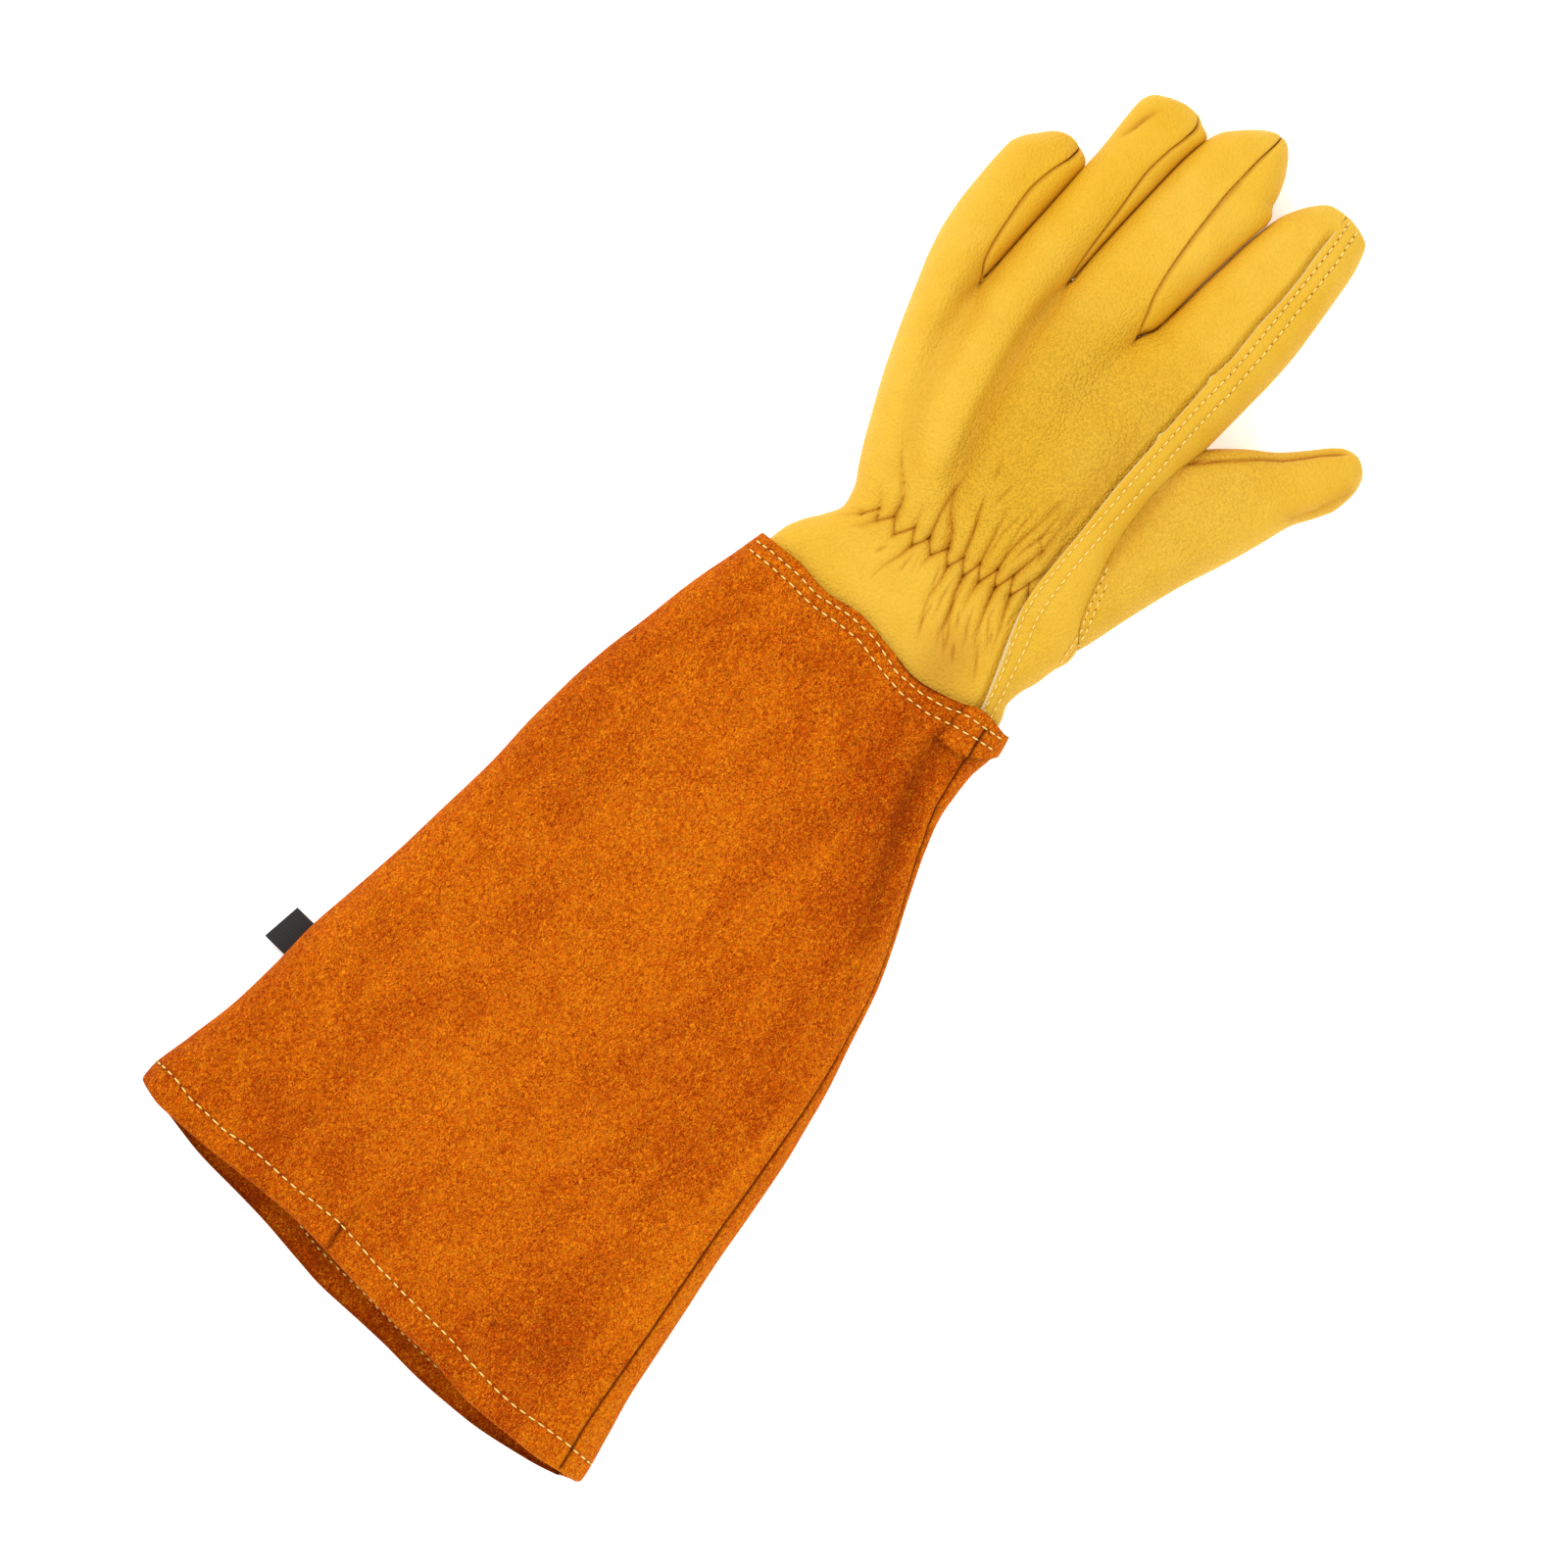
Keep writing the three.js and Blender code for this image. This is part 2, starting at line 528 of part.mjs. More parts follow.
function frontLoose(number, t, reach) {
  const webLeft = webs[Math.max(number - 1, 0)].front;
  const webRight = webs[Math.min(number, 2)].front;
  const web = lerp(webLeft, webRight, clamp(t, 0, 1));
  const section = fingerSection(number, reach);
  const trim = trimOf(section, seamGap / 2);
  const from = frontLeft(number, reach) + (reach > web || number === 0 ? trim : 0);
  const to = frontRight(number, reach) - (reach > web && number < 3 ? trim : 0);
  const finger = fingerPoint(number, lerp(from, to, t), reach, spreadToward((from + to) / 2));
  const weight = smooth(web - 42, web, reach);
  if (weight >= 1) {
    return finger;
  }
  const hand = handSection(reach);
  const start = number === 0
    ? ulnarSeam + trimOf(hand, seamGap / 2)
    : 4 - placeOf(hand, read(handLines, valleys[number - 1], reach));
  const end = number === 3
    ? 4 + lapPlace(hand, reach, 0)
    : 4 - placeOf(hand, read(handLines, valleys[number], reach));
  return mixPoints(handPoint(lerp(start, end, t), reach), finger, weight);
}

function frontPoint(number, t, reach) {
  const [x, y, z] = meetNeighbours(frontLoose, number, t, reach, (i) => webs[i].front);
  return [x, y, Math.max(z, 0)];
}

function normalOf(point, t, reach, sign) {
  const acrossStep = 0.004;
  const alongStep = 0.2;
  const across = minus(point(t + acrossStep, reach), point(t - acrossStep, reach));
  const along = minus(point(t, reach + alongStep), point(t, reach - alongStep));
  const normal = unit(cross(across, along));
  return normal.map((value) => value * sign);
}

// A patch is a grid of outer points with their outward normals.
function patchOf(columns, rows, point, sign, capEnd = Infinity) {
  return rows.map((row) =>
    columns.map((t) => {
      const reach = typeof row === "function" ? row(t) : row;
      const place = point(t, reach);
      const atTip = reach > capEnd - 0.01;
      return { place, normal: atTip ? [0, 1, 0] : normalOf(point, t, reach, sign) };
    }),
  );
}

// Gives a sheet its thickness: outer skin, inner skin and the rim round every free edge.
function thicken(patches, wallAt) {
  const outer = [];
  const normals = [];
  const found = new Map();
  const indexOf = ({ place, normal }) => {
    const key = place.map((value) => Math.round(value * 500)).join(",");
    if (!found.has(key)) {
      found.set(key, outer.length);
      outer.push(place);
      normals.push([0, 0, 0]);
    }
    const index = found.get(key);
    normals[index] = plus(normals[index], normal);
    return index;
  };
  const faces = [];
  for (const patch of patches) {
    const indices = patch.map((row) => row.map(indexOf));
    for (let i = 0; i + 1 < indices.length; i += 1) {
      for (let j = 0; j + 1 < indices[i].length; j += 1) {
        const [a, b] = [indices[i][j], indices[i][j + 1]];
        const [d, c] = [indices[i + 1][j], indices[i + 1][j + 1]];
        faces.push([a, b, c], [a, c, d]);
      }
    }
  }
  const kept = faces.filter(([a, b, c]) => a !== b && b !== c && a !== c);
  const count = outer.length;
  const directions = normals.map(unit);
  const lining = outer.map((place, i) => plus(place, directions[i], -wallAt(place)));
  const edges = new Set(kept.flatMap(([a, b, c]) => [`${a},${b}`, `${b},${c}`, `${c},${a}`]));
  const triangles = [];
  for (const [a, b, c] of kept) {
    triangles.push([a, b, c], [c + count, b + count, a + count]);
    for (const [from, to] of [[a, b], [b, c], [c, a]]) {
      if (!edges.has(`${to},${from}`)) {
        triangles.push([to, from, from + count], [to, from + count, to + count]);
      }
    }
  }
  return { points: [...outer, ...lining], triangles };
}

function bodyOf({ points, triangles }) {
  const mesh = new wasm.Mesh({
    numProp: 3,
    vertProperties: new Float32Array(points.flat()),
    triVerts: new Uint32Array(triangles.flat()),
  });
  mesh.merge();
  return new wasm.Manifold(mesh);
}

function upright(solid) {
  let volume = 0;
  for (const [a, b, c] of solid.triangles) {
    const [p, q, r] = [solid.points[a], solid.points[b], solid.points[c]];
    const side = cross(q, r);
    volume += p[0] * side[0] + p[1] * side[1] + p[2] * side[2];
  }
  if (volume < 0) {
    solid.triangles.forEach((triangle) => triangle.reverse());
  }
  return solid;
}

const steps = (count, from = 0, to = 1) =>
  Array.from({ length: count + 1 }, (unused, i) => lerp(from, to, i / count));

// Rows over a finger, closer together toward its tip.
const fingerRows = (number, web) => [
  (t) => web(t) + webRow,
  ...steps(9)
    .slice(1)
    .map((share) => (t) => lerp(web(t), tipReach(number), 1 - (1 - share) ** 1.2)),
];

const webLine = (side, number, t) =>
  lerp(webs[Math.max(number - 1, 0)][side], webs[Math.min(number, 2)][side], t);

// Rows over the hand bend toward the webs near them.
const handRowAt = (stop, number) => (t) => {
  const bend = webLine("back", number, t) - handStops.at(-1);
  return stop + bend * smooth(62, handStops.at(-1), stop);
};

const backColumns = [
  steps(6),
  steps(6),
  steps(6),
  [...steps(4, 0, lapTurns.near), lapTurns.edge, 0.92, 1],
];

function makeBack() {
  const patches = [];
  backColumns.forEach((columns, number) => {
    const point = (t, reach) => backPoint(number, t, reach);
    const web = (t) => webLine("back", number, t);
    const rows = [
      ...handStops.map((stop) => handRowAt(stop, number)),
      ...fingerRows(number, web),
    ];
    patches.push(patchOf(columns, rows, point, 1, tipReach(number)));
  });
  return thicken(patches, () => grainWall);
}

const palmStops = [...handStops.slice(0, -1), gunnCut];
const frontColumns = [steps(5), steps(4), steps(4), steps(11)];

function frontRows(number, start) {
  const web = (t) => webLine("front", number, t);
  return [() => start, (t) => lerp(start, web(t), 0.5), web, ...fingerRows(number, web)];
}

function makePalm() {
  const patches = frontColumns.map((columns, number) => {
    const point = (t, reach) => frontPoint(number, t, reach);
    const rows = palmStops.map((stop) => () => stop);
    if (number === 0 || number === 3) {
      rows.push(...frontRows(number, gunnCut).slice(1));
    }
    return patchOf(columns, rows, point, -1, tipReach(number));
  });
  return thicken(patches, () => grainWall);
}

function makeFront(number) {
  const rows = frontRows(number, gunnCut + seamGap);
  const quarter = (reach) => {
    const section = fingerSection(number, reach);
    return section.flat + section.arc;
  };
  // Beside the palm, and beside the other front, the edge keeps the same gap as elsewhere.
  const point = (t, reach) => {
    const trim = clamp(seamGap / (quarter(reach) * 1.4), 0, 0.1);
    return frontPoint(number, lerp(trim, 1 - trim, t), reach);
  };
  return thicken([patchOf(steps(4), rows, point, -1, tipReach(number))], () => grainWall);
}

// A side strip runs down one finger, round the web and up the next finger.
function makeFourchette(number) {
  const web = webs[number];
  const across = steps(3);
  const webAt = (share) => lerp(web.back, web.front, share);
  const sideOf = (side) => (share, reach) => {
    const finger = side > 0 ? number : number + 1;
    const section = fingerSection(finger, reach);
    const quarter = section.flat + section.arc;
    const near = Math.exp(-Math.max(reach - webAt(share), 0) / 3);
    const trim = Math.min((0.8 * seamGap + webSlack * near) / quarter, 0.16);
    const upper = side > 0 ? backRight(finger, reach) - trim : backLeft(finger, reach) + trim;
    const lower = side > 0 ? frontRight(finger, reach) - 4 + trim : frontLeft(finger, reach) - trim;
    const spread = spreadToward((upper + lower) / 2);
    const point = fingerPoint(finger, lerp(upper, lower, share), reach, spread);
    const past = reach - webAt(share);
    point[0] -= side * webRound * smooth(0, 2, past) * (1 - smooth(3, 9, past));
    point[2] = Math.max(point[2], 0);
    return point;
  };
  const first = patchOf(across, fingerRows(number, webAt), sideOf(1), 1, tipReach(number));
  const rowsNext = fingerRows(number + 1, webAt);
  const second = patchOf(across, rowsNext, sideOf(-1), -1, tipReach(number + 1));
  const bottom = across.map((share) => {
    const place = mixPoints(sideOf(1)(share, webAt(share)), sideOf(-1)(share, webAt(share)), 0.5);
    return { place, normal: [0, 1, 0] };
  });
  const strip = [...first.reverse(), bottom, ...second];
  return thicken([strip], () => grainWall);
}

function thumbPoint(quarters, station) {
  const row = {};
  for (const name of Object.keys(thumbRows[0])) {
    row[name] = read(thumbTable, name, station, "station");
  }
  const across = [row.rightX - row.leftX, row.rightY - row.leftY];
  const width = Math.hypot(...across);
  const section = sectionOf({ left: -width / 2, right: width / 2, high: row.high, low: row.low });
  const spot = onLoop(section, quarters);
  const share = 0.5 + spot.x / Math.max(width, 1e-4);
  return [row.leftX + across[0] * share, row.leftY + across[1] * share, spot.z];
}
const thumbTable = thumbRows.map((row, station) => ({ ...row, station }));

// The hand's outer skin as one closed body, grown a little.
function handEnvelope(grow) {
  const backs = [0, 1, 2, 3].flatMap((number) =>
    steps(6).slice(0, -1).map((t) => ({ number, t, point: backPlain, sign: 1 })));
  const fronts = [3, 2, 1, 0].flatMap((number) =>
    frontColumns[number].slice(1).reverse().map((t) => ({ number, t, point: frontPoint, sign: -1 })));
  const ring = [...backs, ...fronts];
  const stops = palmStops.filter((stop) => stop > 9);
  return closedTube(stops.map((stop) => ring.map(({ number, t, point, sign }) => {
    const place = (a, b) => point(number, a, b);
    const edge = number === 3 && sign > 0 ? t * lapTurns.edge : t;
    return plus(place(edge, stop), normalOf(place, edge, stop, sign), grow);
  })));
}

function indexEnvelope(grow) {
  const spread = { share: 0, x: 0, z: 0 };
  return closedTube(steps(8, 90, 140).map((reach) => steps(24, 0, 4).slice(0, -1).map((place) => {
    const point = (a, b) => fingerPoint(3, a, b, spread);
    return plus(point(place, reach), normalOf(point, place, reach, -1), grow);
  })));
}

function closedTube(rings) {
  const size = rings[0].length;
  const points = rings.flat();
  const triangles = [];
  for (let i = 0; i + 1 < rings.length; i += 1) {
    for (let j = 0; j < size; j += 1) {
      const next = (j + 1) % size;
      const [a, b] = [i * size + j, i * size + next];
      triangles.push([a, b, b + size], [a, b + size, a + size]);
    }
  }
  for (const [ring, base] of [[rings[0], 0], [rings.at(-1), (rings.length - 1) * size]]) {
    const middle = ring.reduce((sum, point) => plus(sum, point), [0, 0, 0]);
    points.push(middle.map((value) => value / size));
    for (let j = 0; j < size; j += 1) {
      const next = (j + 1) % size;
      const fan = [base + j, points.length - 1, base + next];
      triangles.push(base === 0 ? fan : fan.reverse());
    }
  }
  return upright({ points, triangles });
}

function makeThumb(envelope) {
  const rows = steps(16, 0, thumbRows.length - 1);
  const patch = rows.map((station) => steps(16, 0, 4).map((quarters) => {
    const place = thumbPoint(quarters % 4, station);
    const across = minus(thumbPoint(quarters + 0.01, station), thumbPoint(quarters - 0.01, station));
    const along = minus(thumbPoint(quarters, station + 0.02), thumbPoint(quarters, station - 0.02));
    const atTip = station > thumbRows.length - 1.01;
    return { place, normal: atTip ? [0.45, 0.89, 0] : unit(cross(along, across)) };
  }));
  return bodyOf(upright(thicken([patch], () => grainWall))).subtract(envelope);
}

function thumbHollow(inset) {
  const rings = steps(12, 0.2, thumbRows.length - 2.5).map((station) =>
    steps(16, 0, 4).slice(0, -1).map((quarters) => {
      const place = thumbPoint(quarters, station);
      const across = minus(thumbPoint(quarters + 0.01, station), thumbPoint(quarters - 0.01, station));
      const along = minus(thumbPoint(quarters, station + 0.02), thumbPoint(quarters, station - 0.02));
      return plus(place, unit(cross(along, across)), -inset);
    }));
  return bodyOf(closedTube(rings));
}

const gauntletSection = (y) =>
  sectionOf({
    left: read(gauntletRows, "left", y),
    right: read(gauntletRows, "right", y),
    high: read(gauntletRows, "high", y),
    low: 0,
  }, lerp(0.3, 0.1, smooth(-70, -10, y)));

function gauntletPoint(quarters, share) {
  const top = quarters < 2;
  const hemX = onLoop(gauntletSection(-246), quarters).x;
  const cuffX = onLoop(gauntletSection(1), quarters).x;
  const start = top ? read(gauntletEnds, "cuff", cuffX, "x") : lowCuff;
  const end = read(gauntletEnds, top ? "topHem" : "lowHem", hemX, "x");
  const y = lerp(start, end, share);
  const spot = onLoop(gauntletSection(y), quarters);
  let drop = 0;
  for (const dent of gauntletDents) {
    drop += dent.deep * hump(spot.x, dent.x, dent.reachX) * hump(y, dent.y, dent.reachY);
  }
  return [spot.x, y, spot.z - drop * clamp(spot.rise * 1.4, 0, 1)];
}

const gauntletStops = [0, 0.022, 0.05, 0.09, 0.135, 0.18, 0.235, 0.3, 0.37, 0.45, 0.53, 0.61, 0.69,
  0.77, 0.84, 0.9, 0.945, 0.957, 1];

// The round ends of a section need closer columns than its flat top and underside.
const backColumnTurns = [0.62, 0.34, 0.05, -0.22, -0.5, -0.78, -1];
const flatColumns = 9;

const ulnarPlace = (share) => {
  const section = gauntletSection(lerp(1, -245, share));
  return 2 + (ulnarTurn * section.arc) / (section.flat + section.arc);
};

// Places on the loop from one seam to the other: close together on the round ends.
function gauntletPlaces(share, side) {
  const { flat, arc } = gauntletSection(lerp(1, -250, share));
  const quarter = flat + arc;
  const half = seamGap / (2 * quarter);
  const radial = radialPlace(share, side);
  if (side > 0) {
    const left = backColumnTurns.map((turn) => 2 + (turn * arc) / quarter);
    left[0] -= half;
    const last = Math.max(arc / quarter, radial + 0.05);
    const top = steps(flatColumns, left.at(-1), last).slice(1);
    return [...left, ...top, lerp(last, radial, 0.35), lerp(last, radial, 0.7), radial];
  }
  const first = ulnarPlace(share) + half;
  const flatEnd = 4 - arc / quarter;
  const under = steps(7, 2 + arc / quarter, flatEnd);
  const round = steps(6, flatEnd, 4 + radial).slice(1);
  return [first, ...under, ...round];
}

function radialPlace(share, side) {
  const y = lerp(0, -250, share);
  const section = gauntletSection(y);
  const x = section.middle + section.half - read(gauntletRows, "seamIn", y);
  return placeOf(section, x) + (side * seamGap) / (2 * (section.flat + section.arc));
}

function makeGauntlet(side) {
  const patch = gauntletStops.map((share) => gauntletPlaces(share, side).map((place) => {
    const across = minus(gauntletPoint(place + 0.004, share), gauntletPoint(place - 0.004, share));
    const along = minus(gauntletPoint(place, share + 0.001), gauntletPoint(place, share - 0.001));
    return { place: gauntletPoint(place, share), normal: unit(cross(across, along)) };
  }));
  const fold = patch[gauntletStops.length - 3].map(({ place }) => ({ x: place[0], y: place[1] }));
  const foldAt = fold.sort((a, b) => a.x - b.x).filter((row, i) => i === 0 || row.x > fold[i - 1].x);
  return thicken([patch], ([x, y]) => suedeWall * (y < read(foldAt, "y", x, "x") - 1.5 ? 2 : 1));
}

function makeLabel() {
  const section = gauntletSection(labelTab.y);
  const sine = (section.waist - labelTab.z) / section.waist;
  const tuck = section.end * (1 - Math.sqrt(1 - sine * sine));
  const inner = read(gauntletRows, "left", labelTab.y) + tuck - 2 * seamGap;
  const long = inner - labelTab.outer;
  const shape = new THREE.BoxGeometry(long, labelTab.wide, labelTab.thick);
  shape.rotateZ(labelTab.turn);
  shape.translate(inner - long / 2, labelTab.y, labelTab.z);
  return shape;
}

const leatherLook = { color: 0xf0b93a, roughness: 0.55 };
const suedeLook = { color: 0xc8600f, roughness: 0.95 };
const labelLook = { color: 0x141414, roughness: 0.8 };

function geometryOf({ points, triangles }) {
  const geometry = new THREE.BufferGeometry();
  geometry.setAttribute("position", new THREE.BufferAttribute(new Float32Array(points.flat()), 3));
  geometry.setIndex(triangles.flat());
  return geometry;
}

function geometryFrom(body) {
  const mesh = body.getMesh();
  const points = [];
  for (let i = 0; i < mesh.vertProperties.length; i += mesh.numProp) {
    points.push([...mesh.vertProperties.slice(i, i + 3)]);
  }
  const triangles = [];
  for (let i = 0; i < mesh.triVerts.length; i += 3) {
    triangles.push([...mesh.triVerts.slice(i, i + 3)]);
  }
  return geometryOf({ points, triangles });
}

const envelope = bodyOf(handEnvelope(seamGap)).add(bodyOf(indexEnvelope(seamGap)));
const palmBody = bodyOf(upright(makePalm())).subtract(thumbHollow(grainWall + 0.9));


const pieces = [
  { name: "hand_back", geometry: geometryOf(upright(makeBack())), look: leatherLook },
  { name: "palm", geometry: geometryFrom(palmBody), look: leatherLook },
  { name: "ring_front", geometry: geometryOf(upright(makeFront(1))), look: leatherLook },
  { name: "middle_front", geometry: geometryOf(upright(makeFront(2))), look: leatherLook },
  { name: "fourchette_little_ring", geometry: geometryOf(upright(makeFourchette(0))), look: leatherLook },
  { name: "fourchette_ring_middle", geometry: geometryOf(upright(makeFourchette(1))), look: leatherLook },
  { name: "fourchette_middle_index", geometry: geometryOf(upright(makeFourchette(2))), look: leatherLook },
  { name: "thumb", geometry: geometryFrom(makeThumb(envelope)), look: leatherLook },
  { name: "gauntlet_back", geometry: geometryOf(upright(makeGauntlet(1))), look: suedeLook },
  { name: "gauntlet_palm", geometry: geometryOf(upright(makeGauntlet(-1))), look: suedeLook },
  { name: "size_label", geometry: makeLabel(), look: labelLook },
];

const bounds = new THREE.Box3();
for (const { geometry } of pieces) {
  geometry.computeBoundingBox();
  bounds.union(geometry.boundingBox);
}
const middle = bounds.getCenter(new THREE.Vector3());

const glove = new THREE.Group();
for (const { name, geometry, look } of pieces) {
  geometry.translate(-middle.x, -middle.y, -bounds.min.z);
  geometry.computeVertexNormals();
  const mesh = new THREE.Mesh(geometry, new THREE.MeshStandardMaterial(look));
  mesh.name = name;
  glove.add(mesh);
}

export default glove;
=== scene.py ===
import math
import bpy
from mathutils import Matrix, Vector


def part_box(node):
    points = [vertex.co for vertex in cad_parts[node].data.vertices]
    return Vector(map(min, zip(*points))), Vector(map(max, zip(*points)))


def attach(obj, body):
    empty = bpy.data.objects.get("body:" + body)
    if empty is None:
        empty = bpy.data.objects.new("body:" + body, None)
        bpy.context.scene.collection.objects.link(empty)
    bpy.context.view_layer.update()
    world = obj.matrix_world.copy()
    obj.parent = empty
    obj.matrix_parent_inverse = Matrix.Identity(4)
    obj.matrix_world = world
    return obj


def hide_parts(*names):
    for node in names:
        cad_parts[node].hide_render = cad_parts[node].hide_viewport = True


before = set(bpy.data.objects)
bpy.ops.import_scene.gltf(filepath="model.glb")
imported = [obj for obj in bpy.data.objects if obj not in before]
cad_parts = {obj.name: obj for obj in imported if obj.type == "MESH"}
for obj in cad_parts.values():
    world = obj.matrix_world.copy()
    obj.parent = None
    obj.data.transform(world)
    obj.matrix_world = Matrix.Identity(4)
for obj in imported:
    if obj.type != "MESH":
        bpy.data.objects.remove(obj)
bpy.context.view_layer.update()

from types import SimpleNamespace

import bpy
import numpy as np
from mathutils import Vector
from mathutils.bvhtree import BVHTree
from mathutils.kdtree import KDTree

print("frame loaded", sorted(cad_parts))

# The glove is laid out in millimetres from the middle of the cuff joint, as its pattern is;
# this is where that point sits in the frame.
cuffJoint = (0.589, 33.367, 0.0)
grainWall = 1.2
suedeWall = 1.8


# tables and curves

def table(names, rows):
    return dict(zip(names.split(), np.array(rows, float).T))


def read(tab, name, value, key="y"):
    # smooth curve through one column, no overshoot between its rows
    xs, ys = tab[key], tab[name]
    steps = np.diff(xs)
    secants = np.diff(ys) / steps
    slopes = np.empty_like(ys)
    slopes[0], slopes[-1] = secants[0], secants[-1]
    before, after = secants[:-1], secants[1:]
    total = before + after
    same = before * after > 0
    slopes[1:-1] = np.where(same, 2 * before * after / np.where(same, total, 1), 0)
    value = np.clip(value, xs[0], xs[-1])
    i = np.clip(np.searchsorted(xs, value, side="right") - 1, 0, len(xs) - 2)
    step = steps[i]
    t = (value - xs[i]) / step
    t2, t3 = t * t, t * t * t
    return ((2 * t3 - 3 * t2 + 1) * ys[i] + (t3 - 2 * t2 + t) * step * slopes[i]
            + (3 * t2 - 2 * t3) * ys[i + 1] + (t3 - t2) * step * slopes[i + 1])


def smooth(lo, hi, value):
    t = np.clip((value - lo) / (hi - lo), 0, 1)
    return t * t * (3 - 2 * t)


def lerp(a, b, t):
    return a + (b - a) * t


def hump(value, middle, reach):
    return np.exp(-((value - middle) / reach) ** 2)


def spaced(stops, counts):
    runs = [np.linspace(a, b, n, endpoint=False) for a, b, n in zip(stops, stops[1:], counts)]
    return np.concatenate(runs + [[stops[-1]]])


# the hand: outline from above, height of the back, height of the underside
handTable = table("y left right high low", [
    (-8, -46.2, 45.0, 16.6, 2.6), (-3, -44.4, 44.4, 16.8, 2.6), (3, -43.2, 43.7, 17.0, 2.6),
    (8, -42.0, 42.0, 17.2, 1.4), (13, -39.4, 42.8, 17.2, 0.3), (18, -35.6, 44.8, 17.6, 0),
    (24, -32.4, 46.3, 18.2, 0), (30, -33.5, 48.4, 19.0, 0), (36, -36.6, 48.0, 20.5, 0),
    (43, -40.0, 45.4, 22.2, 0), (50, -43.0, 43.0, 23.8, 0), (60, -47.2, 40.2, 25.8, 0),
    (70, -51.1, 38.6, 27.0, 0), (80, -54.6, 38.3, 27.4, 0), (90, -57.5, 39.3, 26.8, 0),
    (100, -60.0, 40.5, 25.4, 0), (112, -61.8, 41.6, 23.5, 0)])

# valleys that run down from the webs, and the raw edge of the lap
lineTable = table("y valley0 valley1 valley2 lap", [
    (-8, -15.5, -1.0, 13.5, 37.6), (2, -15.8, -1.2, 13.8, 36.6), (13, -16.5, -1.5, 14.0, 33.5),
    (22, -17.2, -1.9, 13.8, 30.5), (33, -18.4, -2.5, 12.9, 27.5), (42, -22.3, -6.6, 11.6, 26.7),
    (50, -28.0, -10.4, 10.2, 26.8), (60, -33.0, -13.4, 8.5, 27.0), (75, -37.9, -17.0, 6.5, 27.0),
    (90, -40.0, -19.7, 5.2, 27.3), (100, -42.0, -21.1, 4.5, 27.9), (116, -42.4, -21.8, 4.0, 28.7)])
depthTable = table("y valley0 valley1 valley2", [
    (-8, 0, 0, 0), (6, 0, 0, 0), (18, 0.2, 0.2, 0.2), (29, 0.6, 0.6, 0.4), (40, 1.0, 1.8, 0.4),
    (54, 1.4, 2.8, 0.5), (68, 1.8, 3.4, 0.6), (95, 2.2, 4.0, 0.8)])
valleyReach = (5.5, 4.5, 6)
backWebs = (100.5, 116, 115.5)
frontWebs = (105, 118, 115.5)
gunnCut = 102

fingers = [
    dict(cap=10, tip=(-47.5, 150.9, 6), rows=[
        (100.5, -60.1, -42.0, 21.5, -42.4), (104, -60.9, -42.4, 21.0, -44.2),
        (110, -61.7, -42.3, 20.0, -46.0), (118, -62.2, -42.1, 18.8, -47.0),
        (130, -62.0, -41.5, 17.0, -47.8), (138, -61.4, -40.9, 15.6, -46.6),
        (142, -59.5, -40.5, 14.6, -45.4), (146, -56.0, -41.3, 13.6, -44.2),
        (149, -53.0, -43.4, 12.6, -44.0), (150.9, -47.5, -47.5, 12, -47.5)]),
    dict(cap=11, tip=(-25, 179.5, 6.4), rows=[
        (100.5, -42.0, -21.1, 23.0, -22.1), (106, -41.6, -21.5, 22.6, -22.1),
        (116, -41.1, -21.8, 21.5, -22.1), (122, -40.8, -21.8, 20.8, -22.6),
        (130, -40.3, -21.6, 19.8, -23.0), (143, -39.6, -21.0, 18.2, -23.4),
        (155, -39.0, -20.1, 16.8, -24.0), (165, -39.1, -18.9, 15.4, -22.8),
        (171, -38.9, -17.9, 14.4, -21.4), (175, -37.4, -18.4, 13.6, -20.9),
        (177.8, -32.8, -20.6, 13.0, -21.6), (179.5, -25, -25, 12.6, -25)]),
    dict(cap=12, tip=(0.5, 189.7, 6.4), rows=[
        (100.5, -21.1, 4.6, 24.0, 3.9), (115.5, -21.2, 4.0, 22.6, 3.5),
        (122, -21.1, 6.3, 21.8, 2.5), (130, -20.8, 7.5, 20.8, 0.3),
        (140, -20.2, 8.8, 19.4, -1.0), (153, -19.2, 10.7, 17.8, -1.6),
        (165, -18.1, 11.9, 16.2, -1.7), (173, -16.7, 11.1, 15.0, -1.1),
        (179, -14.4, 9.5, 14.0, -0.6), (184, -9.6, 7.0, 13.2, 0.1),
        (188, -4.4, 4.0, 12.6, 0.6), (189.7, 0.5, 0.5, 12.2, 0.5)]),
    dict(cap=11, tip=(29, 183.4, 6.4), rows=[
        (100.5, 4.6, 40.5, 23.6, 27.9), (115.5, 4.0, 42.1, 22.0, 28.7),
        (122, 7.1, 42.7, 21.2, 29.0), (130, 8.3, 43.5, 20.2, 29.9),
        (141, 9.6, 44.0, 18.8, 29.9), (150, 10.9, 43.7, 17.6, 30.5),
        (160, 12.4, 43.2, 16.4, 30.7), (170, 14.8, 42.5, 15.2, 30.2),
        (176, 18.0, 41.3, 14.2, 30.2), (180, 21.2, 39.8, 13.4, 30.3),
        (182.6, 24.4, 35.0, 12.8, 30.2), (183.4, 29, 29, 12.4, 29)]),
]
for finger in fingers:
    capStart = finger["tip"][1] - finger["cap"]
    rows = [list(row) for row in finger["rows"]]
    for row in rows:
        past = min(max((row[0] - capStart) / finger["cap"], 0), 1)
        if past > 0:
            row[0] = capStart + finger["cap"] * math.asin(past)
    finger["table"] = table("y left right high seam", rows)
    finger["tipReach"] = finger["tip"][1] + finger["cap"] * (math.pi / 2 - 1)


# a section is a flattened loop with round ends; places on it are counted in quarters
# from its right end, over the top

